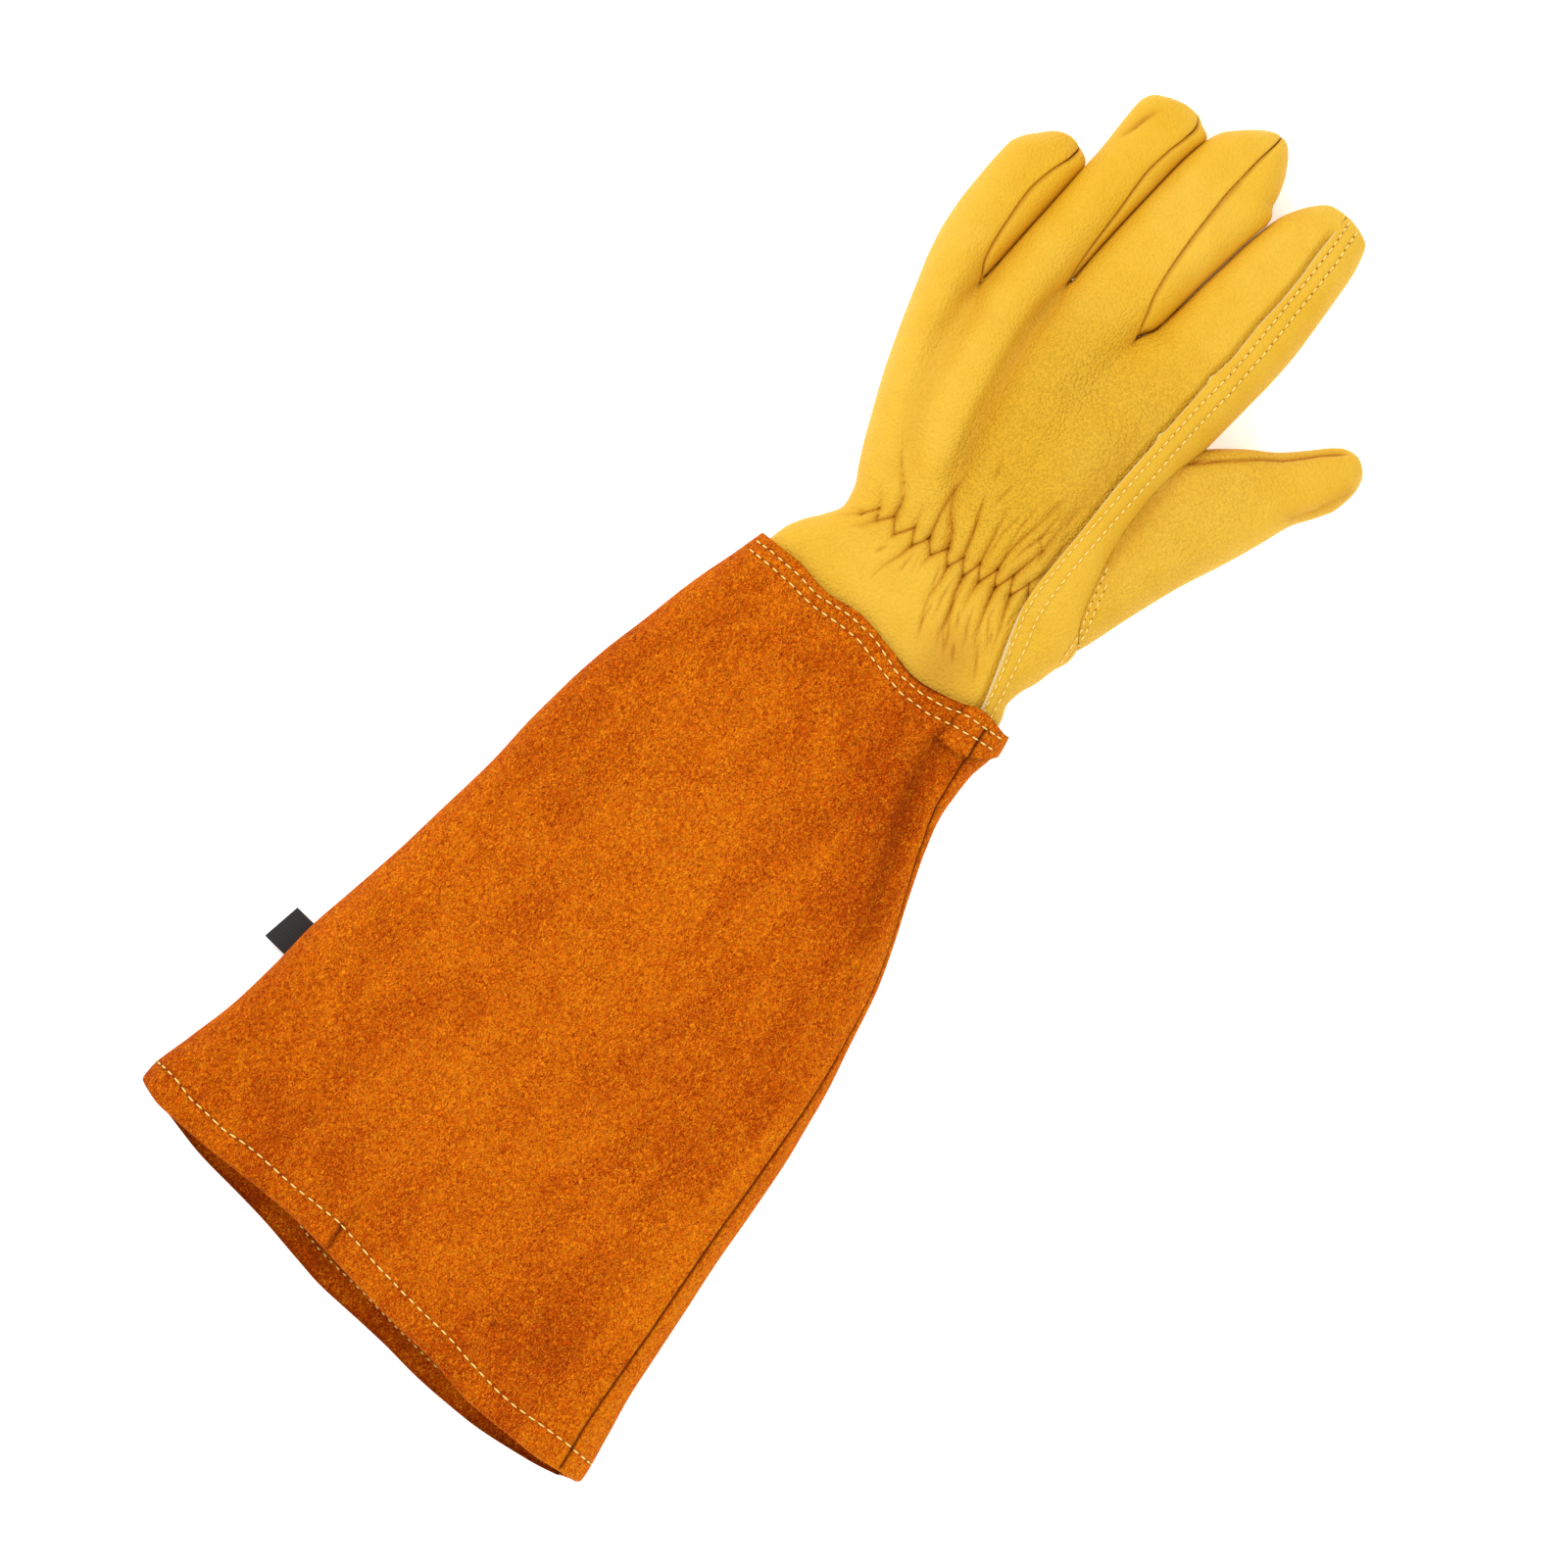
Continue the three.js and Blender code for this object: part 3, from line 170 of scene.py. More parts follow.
def sectionOf(left, right, high, low, crownShare=0.1):
    half = np.maximum((right - left) / 2, 1e-4)
    waist = lerp(low, high, 0.45)
    crown = crownShare * (high - waist)
    top = np.maximum(high - waist - crown, 1e-4)
    end = np.minimum(half, 0.95 * top)
    arc = (math.pi / 4) * (end + top)
    return SimpleNamespace(middle=(left + right) / 2, half=half, low=low, waist=waist, crown=crown,
                           top=top, end=end, flat=half - end, arc=arc, quarter=half - end + arc)


def onLoop(s, quarters):
    turn = np.mod(quarters, 4)
    upper = turn <= 2
    fold = np.where(upper, turn, 4 - turn)
    side = np.where(fold <= 1, 1, -1)
    run = np.where(fold <= 1, fold, 2 - fold) * s.quarter
    angle = np.minimum(run / s.arc, 1) * (math.pi / 2)
    across = s.flat + s.end * np.cos(angle) - np.maximum(run - s.arc, 0)
    rise = np.sin(angle)
    share = across / s.half
    z = np.where(upper, s.waist + s.top * rise + s.crown * (1 - share * share),
                 s.waist - (s.waist - s.low) * np.minimum(1, 1.04 * rise))
    return s.middle + side * across, z, np.where(upper, rise, -rise)


def placeOf(s, x):
    offset = np.clip((x - s.middle) / s.half, -1, 1) * s.half
    across = np.abs(offset)
    inEnd = np.clip((across - s.flat) / s.end, -1, 1)
    run = np.where(across > s.flat, np.arccos(inEnd) * s.arc / (math.pi / 2), s.arc + s.flat - across)
    fold = run / s.quarter
    return np.where(offset >= 0, fold, 2 - fold)


def handSection(y):
    return sectionOf(*[read(handTable, name, y) for name in ("left", "right", "high", "low")])


def fingerSection(number, reach):
    finger = fingers[number]
    rows, tip, cap = finger["table"], finger["tip"], finger["cap"]
    start = finger["rows"][0][0]
    turn = np.clip((reach - (tip[1] - cap)) / cap, 0, math.pi / 2)
    left, right = read(rows, "left", reach), read(rows, "right", reach)
    if number == 0:
        left = np.where(reach < start, read(handTable, "left", reach), left)
    else:
        left = np.where(reach < backWebs[number - 1], read(lineTable, f"valley{number - 1}", reach), left)
    if number == 3:
        right = np.where(reach < start, read(handTable, "right", reach), right)
    else:
        right = np.where(reach < backWebs[number], read(lineTable, f"valley{number}", reach), right)
    full = lerp(read(handTable, "high", reach) - 1.5, read(rows, "high", np.maximum(reach, start)),
                smooth(start - 26, start + 8, reach))
    plump = np.cos(turn)
    return sectionOf(left, right, lerp(tip[2], full, plump), lerp(tip[2], 0, plump))


def reachToY(number, reach):
    tip, cap = fingers[number]["tip"], fingers[number]["cap"]
    turn = (reach - (tip[1] - cap)) / cap
    return np.where(turn <= 0, reach, tip[1] - cap + cap * np.sin(np.clip(turn, 0, math.pi / 2)))


def handPoint(quarters, y):
    x, z, rise = onLoop(handSection(y), quarters)
    drop = 0
    for i in range(3):
        middle = read(lineTable, f"valley{i}", y)
        drop = drop + read(depthTable, f"valley{i}", y) * hump(x, middle, valleyReach[i])
    return np.stack([x, y + 0 * x, z - drop * np.clip(rise * 1.6, 0, 1)], -1)


def fingerPoint(number, quarters, reach, toward, spread=0.16):
    # pieces that meet at a fingertip stand a little apart there
    x, z, rise = onLoop(fingerSection(number, reach), quarters)
    tip, cap = fingers[number]["tip"], fingers[number]["cap"]
    apart = spread * smooth(tip[1] - cap - 8, fingers[number]["tipReach"] - 4, reach)
    turn = toward * math.pi / 2
    y = reachToY(number, reach) + 0 * x
    return np.stack([x + apart * np.cos(turn), y, z + apart * np.sin(turn)], -1)


ulnarSeam = 2.2
seamGap = 0.07      # what shows between two sewn panels


def trimOf(s, millimetres):
    return np.minimum(millimetres / s.quarter, 0.12)


def backRight(number, reach):
    s = fingerSection(number, reach)
    rows = fingers[number]["table"]
    if number == 3:
        return placeOf(s, read(rows, "seam", np.maximum(reach, 100.5)))
    web = backWebs[number]
    seam = placeOf(s, read(rows, "seam", np.maximum(reach, web)))
    return lerp(0.22, seam, smooth(web - 1, web + 5, reach))


def backLeft(number, reach):
    if number == 0:
        return ulnarSeam + 0 * reach
    return lerp(1.78, 2.12, smooth(0, 16, reach - backWebs[number - 1]))


def frontLeft(number, reach):
    if number == 0:
        return ulnarSeam + 0 * reach
    return lerp(2.2, 2.6, smooth(0, 16, reach - frontWebs[number - 1]))


def frontRight(number, reach):
    if number == 3:
        return 4 + backRight(3, reach)
    return lerp(3.8, 3.84, smooth(0, 16, reach - frontWebs[number]))


lap = dict(near=0.68, edge=0.8, under=5.0, dip=grainWall + 0.25)


def indexBackPlace(s, start, edge, y, t):
    under = 1 - smooth(175, 182, y)
    span = start - edge
    near = edge + np.minimum(4.0 / s.quarter, 0.32 * span)
    close = edge + np.minimum(0.5 / s.quarter, 0.06 * span)
    far = edge - np.minimum(lap["under"] * under / s.quarter, 0.3) + 0.003 * span * (1 - under)
    first = lerp(start, near, t / lap["near"])
    second = lerp(near, close, (t - lap["near"]) / (lap["edge"] - lap["near"]))
    third = lerp(close, far, (t - lap["edge"]) / (1 - lap["edge"]))
    return np.where(t < lap["near"], first, np.where(t < lap["edge"], second, third))


def webAcross(webs, number, t):
    return lerp(webs[max(number - 1, 0)], webs[min(number, 2)], np.clip(t, 0, 1))


def valleyPlace(section, number, reach):
    return placeOf(section, read(lineTable, f"valley{number}", reach))


def backLoose(number, t, reach):
    web = webAcross(backWebs, number, t)
    s = fingerSection(number, reach)
    trim = trimOf(s, seamGap / 2)
    above = reach > web
    start = backLeft(number, reach) - np.where(above | (number == 0), trim, 0)
    end = backRight(number, reach) + np.where(above, trim, 0)
    place = indexBackPlace(s, start, end, reach, t) if number == 3 else lerp(start, end, t)
    finger = fingerPoint(number, place, reach, (start + end) / 2)
    h = handSection(reach)
    start = ulnarSeam - trimOf(h, seamGap / 2) if number == 0 else valleyPlace(h, number - 1, reach)
    end = placeOf(h, read(lineTable, "lap", reach)) if number == 3 else valleyPlace(h, number, reach)
    place = indexBackPlace(h, start, end, reach, t) if number == 3 else lerp(start, end, t)
    weight = smooth(web - 42, web, reach)[..., None]
    return lerp(handPoint(place, reach), finger, weight)


def frontLoose(number, t, reach):
    web = webAcross(frontWebs, number, t)
    s = fingerSection(number, reach)
    trim = trimOf(s, seamGap / 2)
    above = reach > web
    start = frontLeft(number, reach) + np.where(above | (number == 0), trim, 0)
    end = frontRight(number, reach) - np.where(above & (number < 3), trim, 0)
    finger = fingerPoint(number, lerp(start, end, t), reach, (start + end) / 2)
    h = handSection(reach)
    start = ulnarSeam + trimOf(h, seamGap / 2) if number == 0 else 4 - valleyPlace(h, number - 1, reach)
    end = 4 + placeOf(h, read(lineTable, "lap", reach)) if number == 3 else 4 - valleyPlace(h, number, reach)
    weight = smooth(web - 42, web, reach)[..., None]
    return lerp(handPoint(lerp(start, end, t), reach), finger, weight)


def meetNeighbours(loose, webs, number, t, reach):
    # neighbouring fingers share the valley between them as far as the web
    point = loose(number, t, reach)
    if number > 0:
        y = np.minimum(reach, webs[number - 1])
        gap = loose(number - 1, 1 + 0 * t, y) - loose(number, 0 * t, y)
        fade = np.exp(-np.maximum(reach - y, 0) / 3) * (1 - t) ** 2
        point = point + 0.5 * gap * fade[..., None]
    if number < 3:
        y = np.minimum(reach, webs[number])
        gap = loose(number + 1, 0 * t, y) - loose(number, 1 + 0 * t, y)
        fade = np.exp(-np.maximum(reach - y, 0) / 3) * t ** 2
        point = point + 0.5 * gap * fade[..., None]
    return point


def backPoint(number, t, reach):
    return meetNeighbours(backLoose, backWebs, number, t, reach)


def frontPoint(number, t, reach):
    point = meetNeighbours(frontLoose, frontWebs, number, t, reach)
    point[..., 2] = np.maximum(point[..., 2], 0)
    return point


# gauntlet: outline from above, height, and how far in from the thumb side its top seam runs
gauntletTable = table("y left right high seamIn", [
    (-258, -88.2, 87.8, 22.5, 7.6), (-248, -88.5, 87.2, 23, 7.6), (-235, -88.6, 85.0, 23.5, 7.2),
    (-220, -85.0, 82.7, 24.2, 6.0), (-200, -80.5, 80.5, 25, 5.0), (-170, -77.0, 78.0, 26, 4.8),
    (-145, -72.7, 76.0, 26.2, 4.2), (-120, -68.7, 73.0, 26, 2.9), (-100, -66.5, 68.8, 25.2, 1.4),
    (-83, -65.1, 65.0, 24.2, 0.9), (-68, -63.5, 60.2, 23, 0.8), (-55, -61.0, 55.2, 22, 1.0),
    (-42, -58.0, 50.6, 21.2, 1.4), (-27, -54.5, 47.2, 20.4, 2.8), (-16, -51.6, 46.8, 20, 4.0),
    (-7, -48.8, 48.0, 20, 6.5), (3, -45.8, 46.6, 20.2, 5.5)])
endTable = table("x cuff topHem lowHem", [
    (-88.7, 2.0, -238.6, -238.6), (-78, 2.0, -240.6, -240.8), (-60, 2.2, -241.2, -245.0),
    (-45, 2.4, -241.1, -246.8), (-34, 2.4, -241.2, -248.3), (-20, 0.5, -242.2, -251.0),
    (-9, 1.6, -243.9, -252.9), (5, -0.8, -246.0, -253.8), (16, -3.0, -247.4, -254.6),
    (30, -0.6, -248.7, -256.2), (38, 2.0, -250.3, -256.6), (48, 0.0, -251.8, -256.8),
    (70, 0.0, -252.0, -254.8), (80, 0.0, -251.0, -252.8), (87.8, 0.0, -250.4, -250.4)])
gauntletDents = [(37, -26, 6, 12, 2.0), (43, -50, 7, 20, 2.4), (-14, -236, 4, 16, 1.4),
                 (-62, -216, 12, 26, 1.6), (62, -206, 9, 40, 1.6), (4, -150, 30, 40, 1.8)]
ulnarTurn = 0.62
lowCuff = 0.5


def gauntletSection(y):
    return sectionOf(read(gauntletTable, "left", y), read(gauntletTable, "right", y),
                     read(gauntletTable, "high", y), 0, lerp(0.3, 0.1, smooth(-70, -10, y)))


def hemAt(x, top):
    return np.where(top, read(endTable, "topHem", x, "x"), read(endTable, "lowHem", x, "x"))


def gauntletPoint(quarters, share):
    top = np.mod(quarters, 4) < 2
    hemX = onLoop(gauntletSection(-246.0 + 0 * share), quarters)[0]
    cuffX = onLoop(gauntletSection(1.0 + 0 * share), quarters)[0]
    start = np.where(top, read(endTable, "cuff", cuffX, "x"), lowCuff)
    y = lerp(start, hemAt(hemX, top), share)
    x, z, rise = onLoop(gauntletSection(y), quarters)
    drop = 0
    for dentX, dentY, reachX, reachY, deep in gauntletDents:
        drop = drop + deep * hump(x, dentX, reachX) * hump(y, dentY, reachY)
    return np.stack([x, y, z - drop * np.clip(rise * 1.4, 0, 1)], -1)


thumbTable = table("station leftX leftY rightX rightY high low", [
    (0, 12, 48, 42, 22, 15.5, 0), (1, 20, 66, 48.6, 34, 17.5, 0), (2, 24, 79, 54, 50, 18.8, 0),
    (3, 28.5, 89, 60, 66.6, 19.2, 0), (4, 34.5, 97, 66, 80, 19.0, 0), (5, 41.8, 104.5, 70.6, 91.4, 18.2, 0),
    (6, 50, 111, 74.4, 101.4, 17.0, 0), (7, 58, 116.2, 78.8, 108, 15.6, 0),
    (8, 64.5, 122.2, 82, 114, 14.2, 0), (9, 69.6, 127.2, 83.1, 121, 13, 0),
    (10, 72.6, 129.3, 82.2, 125.6, 11.6, 0.9),
    (11, 75.2, 130, 80, 128.4, 9.6, 2.7), (12, 77.4, 130, 77.4, 130, 6, 6)])


def thumbPoint(quarters, station):
    row = {name: read(thumbTable, name, station, "station") for name in thumbTable}
    acrossX, acrossY = row["rightX"] - row["leftX"], row["rightY"] - row["leftY"]
    width = np.hypot(acrossX, acrossY)
    x, z, rise = onLoop(sectionOf(-width / 2, width / 2, row["high"], row["low"]), quarters)
    share = 0.5 + x / np.maximum(width, 1e-4)
    return np.stack([row["leftX"] + acrossX * share, row["leftY"] + acrossY * share, z], -1)


# meshes

def weld(patches):
    points = np.concatenate([patch.reshape(-1, 3) for patch in patches])
    keys = np.round(points * 400).astype(np.int64)
    found, first, index = np.unique(keys, axis=0, return_index=True, return_inverse=True)
    index = index.reshape(-1)
    quads, start = [], 0
    for patch in patches:
        rows, columns = patch.shape[:2]
        grid = index[start:start + rows * columns].reshape(rows, columns)
        start += rows * columns
        corners = np.stack([grid[:-1, :-1], grid[:-1, 1:], grid[1:, 1:], grid[1:, :-1]], -1)
        quads.append(corners.reshape(-1, 4))
    quads = np.concatenate(quads)
    faces = np.concatenate([quads[:, [0, 1, 2]], quads[:, [0, 2, 3]]])
    keep = (faces[:, 0] != faces[:, 1]) & (faces[:, 1] != faces[:, 2]) & (faces[:, 0] != faces[:, 2])
    return points[first], faces[keep]


def normalsOf(points, faces):
    corners = points[faces]
    cross = np.cross(corners[:, 1] - corners[:, 0], corners[:, 2] - corners[:, 0])
    normals = np.zeros_like(points)
    for i in range(3):
        np.add.at(normals, faces[:, i], cross)
    return normals / np.maximum(np.linalg.norm(normals, axis=1, keepdims=True), 1e-12)


def relax(points, faces, rim, weight, rounds):
    # evens out kinks where the weight asks for it, rims left alone
    sides = np.concatenate([faces[:, [0, 1]], faces[:, [1, 2]], faces[:, [2, 0]]])
    sides = np.concatenate([sides, sides[:, ::-1]])
    degree = np.bincount(sides[:, 0], minlength=len(points))
    weight = weight.copy()
    weight[np.unique(rim)] = 0
    for _ in range(rounds):
        mean = np.stack([np.bincount(sides[:, 0], axis, len(points)) for axis in points[sides[:, 1]].T], -1)
        points = points + (mean / degree[:, None] - points) * weight[:, None]
    return points


def rimEdges(faces, count):
    edges = np.concatenate([faces[:, [0, 1]], faces[:, [1, 2]], faces[:, [2, 0]]])
    forward = edges[:, 0].astype(np.int64) * count + edges[:, 1]
    backward = edges[:, 1].astype(np.int64) * count + edges[:, 0]
    return edges[~np.isin(forward, backward)]


def distanceTo(points, targets):
    tree = KDTree(len(targets))
    for i, point in enumerate(targets):
        tree.insert(point, i)
    tree.balance()
    return np.array([tree.find(point)[2] for point in points])


def towardLine(x, y, line):
    # distance from each (x, y) to a drawn line, and how far along the line that is, 0 to 1
    line = np.array(line, float)
    lengths = np.hypot(*(line[1:] - line[:-1]).T)
    total = lengths.sum()
    best, along, done = np.full(x.shape, 1e9), np.zeros(x.shape), 0
    for (x0, y0), (x1, y1), length in zip(line[:-1], line[1:], lengths):
        t = np.clip(((x - x0) * (x1 - x0) + (y - y0) * (y1 - y0)) / length ** 2, 0, 1)
        far = np.hypot(x - lerp(x0, x1, t), y - lerp(y0, y1, t))
        closer = far < best
        best = np.where(closer, far, best)
        along = np.where(closer, (done + t * length) / total, along)
        done += length
    return best, along


def makeObject(name, points, faces, attributes=None, slots=None):
    mesh = bpy.data.meshes.new(name)
    placed = (points + np.array(cuffJoint)) / 1000
    mesh.vertices.add(len(placed))
    mesh.vertices.foreach_set("co", placed.astype(np.float32).ravel())
    mesh.loops.add(faces.size)
    mesh.loops.foreach_set("vertex_index", faces.astype(np.int32).ravel())
    mesh.polygons.add(len(faces))
    mesh.polygons.foreach_set("loop_start", np.arange(0, faces.size, 3, dtype=np.int32))
    mesh.update(calc_edges=True)
    mesh.validate()
    mesh.polygons.foreach_set("use_smooth", np.ones(len(faces), bool))
    if slots is not None:
        mesh.polygons.foreach_set("material_index", slots.astype(np.int32))
    for key, values in (attributes or {}).items():
        layer = mesh.attributes.new(key, "FLOAT", "POINT")
        layer.data.foreach_set("value", values.astype(np.float32))
    piece = bpy.data.objects.new(name, mesh)
    bpy.context.scene.collection.objects.link(piece)
    return piece


def makeShell(name, patches, wall, shape=None, flip=False, isCut=None, cutReach=0, calm=None, materials=()):
    # outer skin shaped as given, lining one wall further in, rim between them
    points, faces = weld(patches)
    if flip:
        faces = faces[:, ::-1]
    rim = rimEdges(faces, len(points))
    if calm is not None:
        points = relax(points, faces, rim, calm(points), 60)
    normals = normalsOf(points, faces)
    extras, pale = {}, np.zeros(len(faces), bool)
    if isCut is not None:
        edge = points[np.unique(rim)]
        centres = points[faces].mean(1)
        pale = distanceTo(centres, edge[isCut(edge)]) < cutReach(centres)
    if shape is not None:
        lift, extras = shape(points, normals, points[np.unique(rim)])
        points = points + (normals * lift[:, None] if lift.ndim == 1 else lift)
        points[:, 2] = np.maximum(points[:, 2], 0)
    thick = wall(points) if callable(wall) else np.full(len(points), wall)
    inner = points - normals * thick[:, None]
    count = len(points)
    a, b = rim[:, 0], rim[:, 1]
    sides = np.concatenate([np.stack([b, a, a + count], -1), np.stack([b, a + count, b + count], -1)])
    allFaces = np.concatenate([faces, faces[:, ::-1] + count, sides])
    cut = isCut(points[a]) if isCut is not None else np.zeros(len(a), bool)
    slots = np.concatenate([pale, np.zeros(len(faces)), np.tile(cut, 2)])
    attributes = {key: np.concatenate([values, 0 * values]) for key, values in extras.items()}
    piece = makeObject(name, np.concatenate([points, inner]), allFaces, attributes, slots)
    for material in materials:
        piece.data.materials.append(material)
    print(f"{name}: {len(allFaces)} triangles")
    return piece


def closedTube(rings, grow):
    # rings of places along a body, the two ends closed by fans, the whole skin moved out by grow
    sections, size = rings.shape[:2]
    near = np.arange(sections * size).reshape(sections, size)
    far = np.roll(near, -1, 1)
    start, end = np.full(size, near.size), np.full(size, near.size + 1)
    faces = np.concatenate([np.stack(corners, -1).reshape(-1, 3) for corners in (
        (near[:-1], far[:-1], far[1:]), (near[:-1], far[1:], near[1:]),
        (near[0], start, far[0]), (near[-1], far[-1], end))])
    points = np.concatenate([rings.reshape(-1, 3), rings[[0, -1]].mean(1)])
    corners = points[faces]
    if np.sum(corners[:, 0] * np.cross(corners[:, 1], corners[:, 2])) < 0:
        faces = faces[:, ::-1]
    return points + normalsOf(points, faces) * grow, faces


def carve(piece, points, faces):
    cutter = makeObject("cutter", points, faces)
    cut = piece.modifiers.new("cut", "BOOLEAN")
    cut.operation, cut.solver, cut.object = "DIFFERENCE", "EXACT", cutter
    graph = bpy.context.evaluated_depsgraph_get()
    piece.data = bpy.data.meshes.new_from_object(
        piece.evaluated_get(graph), preserve_all_data_layers=True, depsgraph=graph)
    piece.modifiers.clear()
    bpy.data.objects.remove(cutter)
    print(f"{piece.name} cut: {len(piece.data.polygons)} faces")


# materials

def linear(code):
    values = [int(code[i:i + 2], 16) / 255 for i in (1, 3, 5)]
    return [v / 12.92 if v <= 0.04045 else ((v + 0.055) / 1.055) ** 2.4 for v in values] + [1]


def add(tree, kind, settings=None, inputs=None):
    node = tree.nodes.new(kind)
    for key, value in (settings or {}).items():
        setattr(node, key, value)
    for key, value in (inputs or {}).items():
        socket = node.inputs[key]
        if isinstance(value, bpy.types.NodeSocket):
            tree.links.new(value, socket)
        else:
            socket.default_value = value
    return node


def startMaterial(name):
    material = bpy.data.materials.new(name)
    material.use_nodes = True
    tree = material.node_tree
    tree.nodes.clear()
    shader = add(tree, "ShaderNodeBsdfPrincipled")
    add(tree, "ShaderNodeOutputMaterial", inputs={"Surface": shader.outputs[0]})
    return material, tree, shader


def objectPlace(tree):
    return add(tree, "ShaderNodeTexCoord").outputs["Object"]


def attribute(tree, name):
    return add(tree, "ShaderNodeAttribute", {"attribute_name": name}).outputs["Fac"]


def noise(tree, where, millimetres, detail=2, rough=0.5, distort=0):
    # millimetres: size of one blotch
    return add(tree, "ShaderNodeTexNoise", inputs={
        "Vector": where, "Scale": 1000 / millimetres, "Detail": detail, "Roughness": rough,
        "Distortion": distort}).outputs["Fac"]


def mixColours(tree, factor, first, second, blend="MIX"):
    node = add(tree, "ShaderNodeMix", {"data_type": "RGBA", "blend_type": blend})
    for socket, value in zip((0, 6, 7), (factor, first, second)):
        if isinstance(value, bpy.types.NodeSocket):
            tree.links.new(value, node.inputs[socket])
        else:
            node.inputs[socket].default_value = value
    return node.outputs[2]


def ramp(tree, value, low, high):
    return add(tree, "ShaderNodeMapRange", inputs={
        "Value": value, "From Min": low, "From Max": high}).outputs[0]


def maths(tree, operation, first, second=0.0):
    node = add(tree, "ShaderNodeMath", {"operation": operation})
    for socket, value in zip(node.inputs, (first, second)):
        if isinstance(value, bpy.types.NodeSocket):
            tree.links.new(value, socket)
        else:
            socket.default_value = value
    return node.outputs[0]


def scaled(tree, value, low, high, most):
    return maths(tree, "MULTIPLY", ramp(tree, value, low, high), most)


def applySurface(tree, shader, colour, height, strength, depth):
    bump = add(tree, "ShaderNodeBump", inputs={"Strength": strength, "Distance": depth, "Height": height})
    tree.links.new(colour, shader.inputs["Base Color"])
    tree.links.new(bump.outputs[0], shader.inputs["Normal"])


# Full-grain cowhide, drum dyed and lightly finished: small round pebbles just under 1 mm across
# that flatten where it is stretched over the fingers, half matt; its deep colour is painted shade in folds,
# seams and valleys.
leather = dict(base="#e1ad24", deep="#a65a00", pale="#e5b536", pebble=0.9, fine=0.35)


def makeLeather():
    material, tree, shader = startMaterial("yellow grain leather")
    where = objectPlace(tree)
    fold, pebbled = attribute(tree, "fold"), attribute(tree, "pebbled")
    cells = add(tree, "ShaderNodeTexVoronoi", {"feature": "SMOOTH_F1"}, {
        "Vector": where, "Scale": 1000 / leather["pebble"],
        "Smoothness": 0.35, "Randomness": 0.9}).outputs["Distance"]
    fine = noise(tree, where, leather["fine"], 3)
    broad = noise(tree, where, 38, 2)
    patchy = noise(tree, where, 9, 3)
    colour = mixColours(tree, ramp(tree, broad, 0.35, 0.65),
                        linear(leather["base"]), linear(leather["pale"]))
    colour = mixColours(tree, scaled(tree, patchy, 0.45, 0.7, 0.22), colour, linear("#d99e16"))
    # painted shade in the hollows between pebbles, where the bump sinks
    pits = maths(tree, "MULTIPLY", ramp(tree, cells, 0.25, 0.75), pebbled)
    colour = mixColours(tree, maths(tree, "MULTIPLY", pits, 0.13), colour, linear("#b87a04"))
    # painted shade: the panels' fold attribute darkens toward the deep colour in folds, seams, valleys and
    # creases
    colour = mixColours(tree, fold, colour, linear(leather["deep"]))
    sunk = maths(tree, "MULTIPLY", maths(tree, "ADD", pebbled, 0.12), -1.0)
    height = maths(tree, "ADD", maths(tree, "MULTIPLY", cells, sunk), maths(tree, "MULTIPLY", fine, 0.25))
    applySurface(tree, shader, colour, height, 0.8, 0.0009)
    rough = add(tree, "ShaderNodeMapRange", inputs={"Value": patchy, "To Min": 0.46, "To Max": 0.6})
    tree.links.new(rough.outputs[0], shader.inputs["Roughness"])
    shader.inputs["IOR"].default_value = 1.45
    shader.inputs["Specular IOR Level"].default_value = 0.2
    return material


# The same hide where it is cut: undyed, fibrous and pale.
def makeCutEdge():
    material, tree, shader = startMaterial("cut edge of grain leather")
    where = objectPlace(tree)
    fibres = noise(tree, where, 0.5, 3)
    colour = mixColours(tree, fibres, linear("#e4d09a"), linear("#c4a45c"))
    applySurface(tree, shader, colour, fibres, 0.5, 0.0003)
    shader.inputs["Roughness"].default_value = 0.85
    return material


# Split cowhide, buffed to a nap: matt and fuzzy, brushed this way and that, so it is mottled
# from orange to rust in tufts of a few millimetres and patches of a few centimetres, with painted light and
# shade in its broad tone.
suede = dict(base="#e26404", light="#fca018", dark="#c24600", nap=0.65, tuft=2.2, patch=15, curl=1.4)


